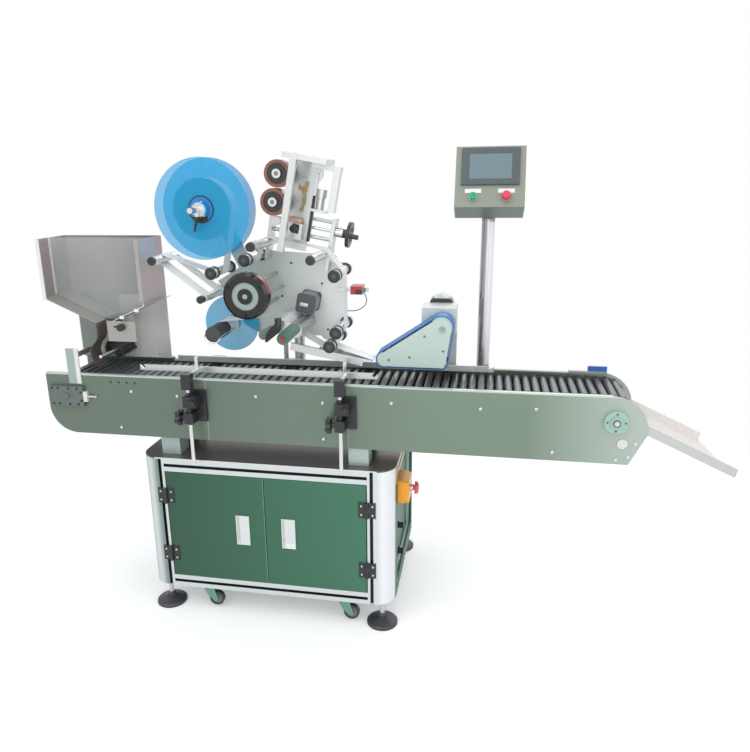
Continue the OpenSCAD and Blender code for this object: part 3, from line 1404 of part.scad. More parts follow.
module coder_handwheel() color("black") place() uv(0, screw_v) translate([0, rail_y, 0])
    rotate([0, 90, 0]) {
        translate([0, 0, left_u + end_t + over])
            cylinder(r = axle_r, h = hand_u - left_u - end_t);
        translate([0, 0, end_u + end_t + seat]) cylinder(r = 2.6*axle_r, h = hand_u - end_u - end_t);
        translate([0, 0, hand_u]) difference() {
            cylinder(r = hand_r, h = hand_t);
            for (a = [45:90:315]) rotate(a) translate([hand_r/2 + over, 0, -over])
                cylinder(r = hand_r/5, h = hand_t + 2*over);
        }
        translate([0, -0.75*hand_r, hand_u + hand_t]) cylinder(r = crank_r, h = crank_len);
    }

// press unit
press_circles = [[press_top[0], press_top[1], pulley_top_r, 1],
    [press_left[0], press_left[1], pulley_left_r, 1],
    [press_right[0], press_right[1], pulley_right_r, 1]];
function grown(cs, d) = [for (c = cs) [c[0], c[1], c[2] + d, c[3]]];
function plain(path) = [for (p = path) [p[0], p[1]]];

module press_frame() color("lightgray") place() {
    y0 = press_y0;
    yb = y0 + cover_t + belt_w + 2*over;
    slab_y(y0, y0 + cover_t) polygon(plain(loop_path(grown(press_circles, -cover_rim), 10)));
    slab_y(yb, yb + press_plate_t) polygon(plain(loop_path(grown(press_circles, -cover_rim), 10)));
    for (c = press_circles) along_y(c, y0 + cover_t, yb, c[2] - seat);
    // grey column on the conveyor's back plate
    block([press_x, yb + press_plate_t, press_top[1] - pulley_top_r],
        [press_w, cv_back + press_plate_t - yb, cv_top + press_h - press_top[1] + pulley_top_r]);
    block([press_x, cv_back, cv_bot + chamfer_z],
        [press_w, 2*press_plate_t, cv_h - chamfer_z + press_h]);
    block([press_x - 2*cover_t, yb + press_plate_t, press_top[1] - pulley_top_r],
        [2*cover_t, belt_w/2, pulley_top_r/2]);
    along_y([press_x + press_w/2, cv_top + press_h - press_motor_r/2],
        cv_back + 2*press_plate_t, cv_back + 2*press_plate_t + press_motor_len, press_motor_r,
        $fn = 8);
}

module press_belt() color("royalblue") place() slab_y(press_y0 + cover_t + over,
    press_y0 + cover_t + over + belt_w) difference() {
        polygon(plain(loop_path(grown(press_circles, belt_t), 12)));
        polygon(plain(loop_path(press_circles, 12)));
    }

// pole and control box
module box_frame() translate([pole_x - box_w/2, box_y, box_z]) rotate([-box_tilt, 0, 0])
    children();

module control_box() color("darkgray") place() {
    difference() {
        box_frame() cube([box_w, box_d, box_h]);
        box_frame() for (x = [button_in, box_w - button_in]) translate([x, -over, button_v])
            rotate([-90, 0, 0]) cylinder(r = stem_r/2 + fit, h = 4*ring_t);
    }
    box_frame() {
        translate([(box_w - bezel_w)/2, -bezel_t, bezel_up]) difference() {
            cube([bezel_w, bezel_t, bezel_h]);
            block([(bezel_w - screen_w)/2, -over, (bezel_h - screen_h)/2],
                [screen_w, 2*over, screen_h]);
        }
        for (x = [button_in, box_w - button_in]) translate([x, 0, button_v]) difference() {
            rotate([90, 0, 0]) cylinder(r = button_r + over, h = ring_t);
            rotate([90, 0, 0]) translate([0, 0, -over])
                cylinder(r = stem_r/2 + fit, h = ring_t + 2*over);
        }
    }
    translate([pole_x, pole_y, pole_low]) cylinder(r = pole_r, h = box_z - pole_low + box_h/4);
    for (z = [pole_low + clamp_t, cv_top - 3*clamp_t]) difference() {
        block([pole_x - 1.6*pole_r, cv_back, z], [3.2*pole_r, pole_y - cv_back, 2*clamp_t]);
        translate([pole_x, pole_y, z - over]) cylinder(r = pole_r, h = 2*clamp_t + 2*over);
    }
}

module start_button() color("mediumseagreen") place() box_frame()
    translate([button_in, -ring_t - button_travel - seat, button_v]) rotate([-90, 0, 0]) {
        cylinder(r = stem_r/2, h = 2*ring_t + button_travel);
        translate([0, 0, -ring_t]) cylinder(r = button_r, h = ring_t);
    }

module stop_button() color("crimson") place() box_frame()
    translate([box_w - button_in, -ring_t - button_travel - seat, button_v]) rotate([-90, 0, 0]) {
        cylinder(r = stem_r/2, h = 2*ring_t + button_travel);
        translate([0, 0, -3*ring_t]) cylinder(r1 = mushroom_r/2, r2 = 0.65*mushroom_r,
            h = 2*ring_t);
        translate([0, 0, -ring_t]) cylinder(r = 0.65*mushroom_r, h = ring_t);
    }

cabinet_frame();
cabinet_panels();
top_plate();
door_left();
door_right();
hinge_leaves();
levelling_feet();
caster_fork_1();
caster_fork_2();
caster_fork_3();
caster_fork_4();
caster_wheel_1();
caster_wheel_2();
caster_wheel_3();
caster_wheel_4();
side_controls();
estop_button();
side_plates();
conveyor_posts();
chain_plates();
conveyor_rollers();
drive_shaft();
idler_shaft();
conveyor_drive();
chute();
guide_rails();
rail_clamps();
star_knob_left();
star_knob_right();
hopper();
hopper_window();
feed_wheel();
gate_plate();
head_mast();
head_plate();
head_hardware();
supply_reel();
label_roll();
dancer_arm();
guide_roller_1();
guide_roller_2();
guide_roller_3();
guide_roller_4();
guide_roller_5();
drive_roller();
nip_roller();
rewind_reel();
tension_wheel();
head_motor();
peel_plate();
label_web();
coder_frame();
ribbon_reel_upper();
ribbon_reel_lower();
coder_handwheel();
press_frame();
press_belt();
control_box();
start_button();
stop_button();
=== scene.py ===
import math

import bmesh
import bpy
from mathutils import Matrix, Vector
from mathutils.geometry import interpolate_bezier


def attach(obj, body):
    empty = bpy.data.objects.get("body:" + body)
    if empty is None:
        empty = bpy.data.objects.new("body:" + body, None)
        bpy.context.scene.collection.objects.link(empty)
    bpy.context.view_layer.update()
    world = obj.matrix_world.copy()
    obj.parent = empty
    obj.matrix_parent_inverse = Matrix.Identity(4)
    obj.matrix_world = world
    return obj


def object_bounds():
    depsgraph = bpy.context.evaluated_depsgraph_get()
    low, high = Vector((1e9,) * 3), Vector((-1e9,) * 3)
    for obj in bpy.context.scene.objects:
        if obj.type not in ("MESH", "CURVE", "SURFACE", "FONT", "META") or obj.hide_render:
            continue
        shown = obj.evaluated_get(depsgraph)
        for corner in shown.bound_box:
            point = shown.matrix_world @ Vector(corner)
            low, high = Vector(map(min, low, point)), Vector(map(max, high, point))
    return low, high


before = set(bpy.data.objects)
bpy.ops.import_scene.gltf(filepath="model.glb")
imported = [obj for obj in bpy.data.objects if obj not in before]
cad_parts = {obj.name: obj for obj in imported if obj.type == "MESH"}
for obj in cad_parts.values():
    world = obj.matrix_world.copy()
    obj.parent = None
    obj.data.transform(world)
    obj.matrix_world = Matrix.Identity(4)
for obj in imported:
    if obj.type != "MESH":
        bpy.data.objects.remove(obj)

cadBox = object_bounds()
print("frame loaded:", len(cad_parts), "nodes")

# the machine's own measures start at the cabinet's left front corner, in millimetres;
# the hopper's left edge is the frame's lowest x
hopperLeft = -308
origin = {"x": hopperLeft - cadBox[0][0] * 1000, "y": 254.5}


def spot(x, y, z):
    return Vector(((x - origin["x"]) / 1000, (y - origin["y"]) / 1000, z / 1000))


def mm(value):
    return value / 1000


def hexColour(text):
    channels = [int(text[i:i + 2], 16) / 255 for i in (1, 3, 5)]
    linear = [c / 12.92 if c <= 0.04045 else ((c + 0.055) / 1.055) ** 2.4 for c in channels]
    return (*linear, 1)


# a link where the value is a wire, a plain value otherwise
def plugIn(tree, slot, value):
    if isinstance(value, Wire):
        tree.links.new(value.socket, slot)
    else:
        slot.default_value = value


# shader maths written as expressions
class Wire:
    def __init__(self, tree, socket):
        self.tree = tree
        self.socket = socket

    def sum(self, operation, *others, clamp=False):
        node = self.tree.nodes.new("ShaderNodeMath")
        node.operation = operation
        node.use_clamp = clamp
        for slot, value in zip(node.inputs, (self, *others)):
            plugIn(self.tree, slot, value)
        return Wire(self.tree, node.outputs[0])

    def __add__(self, other):
        return self.sum("ADD", other)

    __radd__ = __add__

    def __mul__(self, other):
        return self.sum("MULTIPLY", other)

    __rmul__ = __mul__

    def __sub__(self, other):
        return self.sum("SUBTRACT", other)

    def __rsub__(self, other):
        return (self * -1).sum("ADD", other)

    def near(self, value, reach):
        return self.sum("COMPARE", value, reach)

    def clamped(self):
        return self.sum("ADD", 0, clamp=True)


# one material: its node tree, with the Principled shader ready
class Finish:
    def __init__(self, name):
        self.material = bpy.data.materials.new(name)
        self.material.use_nodes = True
        self.tree = self.material.node_tree
        self.shader = self.tree.nodes["Principled BSDF"]

    def set(self, socketName, value):
        plugIn(self.tree, self.shader.inputs[socketName], value)

    def node(self, kind, settings=None, output=0, **values):
        made = self.tree.nodes.new("ShaderNode" + kind)
        for key, value in (settings or {}).items():
            setattr(made, key, value)
        for key, value in values.items():
            plugIn(self.tree, made.inputs[key.replace("_", " ")], value)
        return Wire(self.tree, made.outputs[output])

    def place(self, stretch=(1, 1, 1)):
        where = self.node("TexCoord", output="Object")
        return self.node("Mapping", Vector=where, Scale=stretch)

    def noise(self, scale, stretch=(1, 1, 1), detail=4):
        return self.node("TexNoise", output="Fac", Vector=self.place(stretch), Scale=scale,
                         Detail=detail)

    def mix(self, factor, first, second, blend="MIX"):
        made = self.tree.nodes.new("ShaderNodeMix")
        made.data_type = "RGBA"
        made.blend_type = blend
        made.clamp_result = blend != "MIX"
        factorSlot, firstSlot, secondSlot = 0, 6, 7     # the colour pair of a Mix node
        for i, value in ((factorSlot, factor), (firstSlot, first), (secondSlot, second)):
            plugIn(self.tree, made.inputs[i], value)
        return Wire(self.tree, made.outputs[2])

    # object coordinates, turned back by a part's own tilt about a point
    def axes(self, tilt=None):
        where = self.place()
        if tilt:
            turn, centre, angle = tilts[tilt]
            where = self.node("VectorRotate", {"rotation_type": turn}, Vector=where,
                              Center=spot(*centre), Angle=math.radians(-angle))
        made = self.tree.nodes.new("ShaderNodeSeparateXYZ")
        self.tree.links.new(where.socket, made.inputs[0])
        return [Wire(self.tree, made.outputs[i]) for i in range(3)]

    # 1 inside a box
    def inside(self, low, high, tilt=None):
        low, high = spot(*low), spot(*high)
        x, y, z = [wire.near((a + b) / 2, abs(b - a) / 2)
                   for wire, a, b in zip(self.axes(tilt), low, high)]
        return x * y * z

    # 0 to 1 along x, inside a box
    def fade(self, low, high, start, end, tilt=None):
        x = self.axes()[0]
        begin, finish = spot(start, 0, 0).x, spot(end, 0, 0).x
        rise = ((x - begin) * (1 / (finish - begin))).clamped()
        return rise * self.inside(low, high, tilt)

    # 1 in a ring about an axis along y, from front to back
    def ring(self, centre, inner, outer, front, back, tilt=None):
        x, y, z = self.axes(tilt)
        middle = spot(centre[0], (front + back) / 2, centre[1])
        across, up = x - middle.x, z - middle.z
        radius = (across * across + up * up).sum("SQRT")
        return (radius.near(mm(inner + outer) / 2, mm(outer - inner) / 2)
                * y.near(middle.y, mm(back - front) / 2))


# parts that stand at an angle, each with its axis, its own origin and its tilt in degrees:
# the coder and the head's motor lean over, the control box faces up, and the hopper's right
# floor slopes down to the throat
tilts = {"coder": ("Y_AXIS", (450, 0, 1150), 11), "motor": ("Y_AXIS", (511, 0, 990), 11),
         "panel": ("X_AXIS", (931, 174.5, 1260), -24), "floor": ("Y_AXIS", (-101, 0, 929.9), -24)}

# colour, roughness, metallic, and alpha where it is below 1
looks = {
    "anodised": ("#d3d9d9", 0.34, 0.35), "silver": ("#ccd0cf", 0.28, 0.6),
    # stainless is the side plates' own steel, darkened and greened by a painted reflection;
    # stainlessMidReflection and stainlessBrightReflection are that steel lightened in steps by the
    # painted reflection
    "bright": ("#dadddc", 0.16, 0.85), "stainless": ("#6a786c", 0.34, 0.35),
    "stainlessMidReflection": ("#788b79", 0.34, 0.3), "stainlessBrightReflection": ("#b0bcb3", 0.34, 0.25),
    "stainlessEnd": ("#c2cdc6", 0.34, 0.25), "seam": ("#8f9486", 0.34, 0.25),
    # sheetPaintedShade, sheetPaintedHighlight, sheetGreenReflection, sheetPinkReflection and
    # sheetPaintedLight are the hopper's sheet under painted light: painted shade, painted
    # highlights, painted green and pink reflections and a painted pool of light
    "sheet": ("#a9a7a2", 0.32, 0.45), "sheetPaintedShade": ("#77756f", 0.34, 0.45),
    "sheetPaintedHighlight": ("#e6e5e1", 0.34, 0.15), "sheetGreenReflection": ("#858d86", 0.36, 0.2),
    "sheetPinkReflection": ("#a79b9c", 0.34, 0.3), "film": ("#9aa6b6", 0.3, 0.2),
    # guard is the feed guard painted dark, a painted shade of its inner side
    "guard": ("#6a625e", 0.4, 0.2), "sheetPaintedLight": ("#f0f2ee", 0.4, 0.0),
    "upright": ("#a3b3ac", 0.36, 0.2), "legMetal": ("#a6b7b1", 0.36, 0.3),
    # chuteSheet is a pale sheet colour, slightly pink for the chute's painted pink reflection;
    # chutePaintedShade is the chute's sheet in painted shade
    "chuteSheet": ("#e6e1de", 0.4, 0.25), "chutePaintedShade": ("#c4c6c3", 0.4, 0.2),
    "deck": ("#6b6662", 0.32, 0.35), "pole": ("#a19fa2", 0.14, 0.8),
    "darkSteel": ("#3c3f3d", 0.45, 0.5), "chain": ("#5b5f5c", 0.4, 0.6),
    "roller": ("#4b5050", 0.3, 0.3), "doorGreen": ("#184c33", 0.36, 0.0),
    # doorPaintedLight is the doors' green where painted light falls on it
    "doorPaintedLight": ("#357257", 0.36, 0.0), "doorSeam": ("#a5b9ad", 0.36, 0.0),
    "panelGreen": ("#1f5a48", 0.45, 0.0), "black": ("#222326", 0.36, 0.0),
    "gloss": ("#111214", 0.12, 0.0), "grip": ("#3d3f41", 0.6, 0.0),
    "rubber": ("#3c3d42", 0.5, 0.0), "orange": ("#ffad1e", 0.34, 0.0),
    "red": ("#de4a5e", 0.25, 0.0), "redBand": ("#b52a2a", 0.3, 0.0),
    "start": ("#12a57c", 0.25, 0.0), "headGreen": ("#bccac3", 0.36, 0.0),
    # headPaintedLight is the head plate's paint under painted light
    "headPaintedLight": ("#eff2f0", 0.36, 0.0), "linkGreen": ("#4d6f60", 0.35, 0.1),
    "ringGrey": ("#9aa8a1", 0.35, 0.2), "paper": ("#eef0f1", 0.6, 0.0),
    "rollPaper": ("#e3e8ec", 0.6, 0.0), "rollSide": ("#7c95a4", 0.6, 0.0),
    "ribbon": ("#86543f", 0.35, 0.0), "beltBlue": ("#2a72b8", 0.55, 0.0),
    "railBlue": ("#2f69b3", 0.45, 0.0), "cover": ("#b9cbc3", 0.34, 0.15),
    "column": ("#c9cecd", 0.4, 0.05), "box": ("#8d9385", 0.42, 0.05),
    # boxUnderShade is the box's paint in painted shade, for its underside
    "boxUnderShade": ("#66736a", 0.45, 0.05), "bezel": ("#4c5658", 0.35, 0.0),
    "screen": ("#6f848b", 0.14, 0.0), "mint": ("#a3c3b7", 0.36, 0.15),
    "plated": ("#68746f", 0.35, 0.4), "cream": ("#dcddd3", 0.5, 0.0),
    "white": ("#eceeee", 0.45, 0.0), "brass": ("#ad9658", 0.3, 0.5),
    "copper": ("#cda58c", 0.4, 0.2), "hubGrey": ("#75797a", 0.4, 0.2),
    "capGrey": ("#46494b", 0.4, 0.1), "motorGrey": ("#8b908f", 0.4, 0.3),
    "motorFace": ("#4c5053", 0.4, 0.1), "sideGreen": ("#2c6a50", 0.4, 0.0),
    "sideTan": ("#c4ad8c", 0.4, 0.0), "castor": ("#6f9c8d", 0.36, 0.2),
    # postPaintedShade is painted shade on the profile; paintedHighlight is a painted highlight, on
    # the right post and on the pole
    "armGreen": ("#5f7869", 0.4, 0.1), "postPaintedShade": ("#7d918b", 0.34, 0.2),
    "paintedHighlight": ("#f0f2f4", 0.3, 0.1), "blue": ("#00ace0", 0.25, 0.0, 0.52),
    "paleBlue": ("#00b2e0", 0.25, 0.0, 0.62), "hubBlue": ("#1f86c6", 0.3, 0.0),
    "rollerSilver": ("#b4b8b8", 0.25, 0.6), "clear": ("#dfe6e6", 0.1, 0.0, 0.16),
    "slot": ("#101314", 0.6, 0.0), "cable": ("#202124", 0.5, 0.0),
}

# shared by every finish: grain lines and clouds, clear coat and softened edges
surface = {"lines": 30, "clouds": 4, "wear": 0.06, "lineRough": 0.03, "cloudRough": 0.12,
           "bump": 0.02, "bumpDepth": 0.0004, "coat": 0.15, "coatRough": 0.25,
           "edge": 0.0012, "edgeSamples": 4}
# thin sheets keep sharp edges, because softening would reach through them
thinSheets = ("hopper", "chute", "gate_plate", "supply_reel", "rewind_reel", "hopper_window")


# a look with regions painted over it, and grain, wear and softened edges over all
def painted(name, look, grain=(1, 1, 1), zones=()):
    finish = Finish(name)
    colour, roughness, metallic, alpha = (*looks[look], 1)[:4]
    colour = hexColour(colour)
    for maker, settings, zoneLook in zones:
        mask = getattr(finish, maker)(*settings)
        overColour, overRough, overMetal, overAlpha = (*looks[zoneLook], 1)[:4]
        colour = finish.mix(mask, colour, hexColour(overColour))
        roughness = roughness + mask * (overRough - roughness)
        if metallic != overMetal:
            metallic = metallic + mask * (overMetal - metallic)
        if alpha != overAlpha:
            alpha = alpha + mask * (overAlpha - alpha)
    lines = finish.noise(surface["lines"], grain, detail=3)
    clouds = finish.noise(surface["clouds"], detail=4)
    tone = lines * 0.5 + clouds * 0.5
    dark, light = [(1 + sign * surface["wear"],) * 3 + (1,) for sign in (-1, 1)]
    finish.set("Base Color", finish.mix(1, colour, finish.mix(tone, dark, light), "MULTIPLY"))
    midRough = (surface["lineRough"] + surface["cloudRough"]) / 2
    finish.set("Roughness", (lines * surface["lineRough"] + clouds * surface["cloudRough"]
                             + roughness - midRough).clamped())
    finish.set("Metallic", metallic)
    finish.set("Alpha", alpha)
    edges = finish.node("Bevel", {"samples": surface["edgeSamples"]},
                        Radius=0 if name in thinSheets else surface["edge"])
    finish.set("Normal", finish.node("Bump", Height=lines, Strength=surface["bump"],
                                     Distance=surface["bumpDepth"], Normal=edges))
    finish.set("Coat Weight", surface["coat"])
    finish.set("Coat Roughness", surface["coatRough"])
    return finish.material


# places that several zones and pieces share, as x and z
reelAt, rewindAt, tensionAt, bearingAt = (225, 1262), (258, 914), (373, 1031), (1380, 713)
guideRollers = [(363, 1126), (262, 1088), (618, 1085), (619, 926), (600, 886)]
clampAcross = (190, 640)
castors = {"x": (180, 627), "y": (36, 514), "trail": 25, "z": 33, "core": 18.5, "half": 12}
ribbonReels = {"across": -38, "lower": 126, "upper": 203}      # in the coder's own measures

# slots of the cabinet's profile: posts and rails in front, then on the right
slots = {"postX": (63, 719), "postY": (63, 479), "postZ": (87, 527), "railX": (80, 710),
         "railY": (80, 470), "railZ": (107, 507), "sideX": (780.5, 789.6), "wide": 8, "deep": 9.5}
postLow, postHigh = slots["postZ"]
slotBoxes = [((x - 1, -1, postLow), (x + 1 + slots["wide"], slots["deep"], postHigh))
             for x in slots["postX"]]
slotBoxes += [((slots["railX"][0], -1, z - 5), (slots["railX"][1], slots["deep"], z + 5))
              for z in slots["railZ"]]
slotBoxes += [((slots["sideX"][0], slots["railY"][0], z - 4),
               (slots["sideX"][1], slots["railY"][1], z + 4)) for z in slots["railZ"]]
slotBoxes += [((slots["sideX"][0], y, postLow), (slots["sideX"][1], y + slots["wide"], postHigh))
              for y in slots["postY"]]
slotZones = [("inside", box, "slot") for box in slotBoxes]


# a point and a box in the own measures of a part that stands at an angle
def ownPoint(name, point):
    return tuple(a + b for a, b in zip(tilts[name][1], point))


def ownBox(name, low, high):
    return ownPoint(name, low), ownPoint(name, high), name


def ribbonZones(v):
    x, y, z = ownPoint("coder", (ribbonReels["across"], 0, v))
    return [("ring", ((x, z), 0, 28.4, 60, 97, "coder"), "black"),
            ("ring", ((x, z), 0, 12.5, 60, 100, "coder"), "silver"),
            ("ring", ((x, z), 0, 6, 60, 100, "coder"), "hubGrey")]


def rollerZones(at):
    return [("inside", ((at[0] - 30, 47, at[1] - 30), (at[0] + 30, 187, at[1] + 30)), "silver"),
            ("ring", (at, 12.5, 19, 37.6, 43.5), "silver"),
            ("ring", (at, 0, 6.5, 20, 40), "capGrey")]


# solids of one plain look
plainSolids = {
    "cabinet_panels": "panelGreen", "hinge_leaves": "black", "estop_button": "red",
    "star_knob_left": "black", "star_knob_right": "black", "hopper_window": "clear",
    "nip_roller": "white", "label_web": "paper", "start_button": "start", "stop_button": "red",
}
plain = (1, 1, 1)

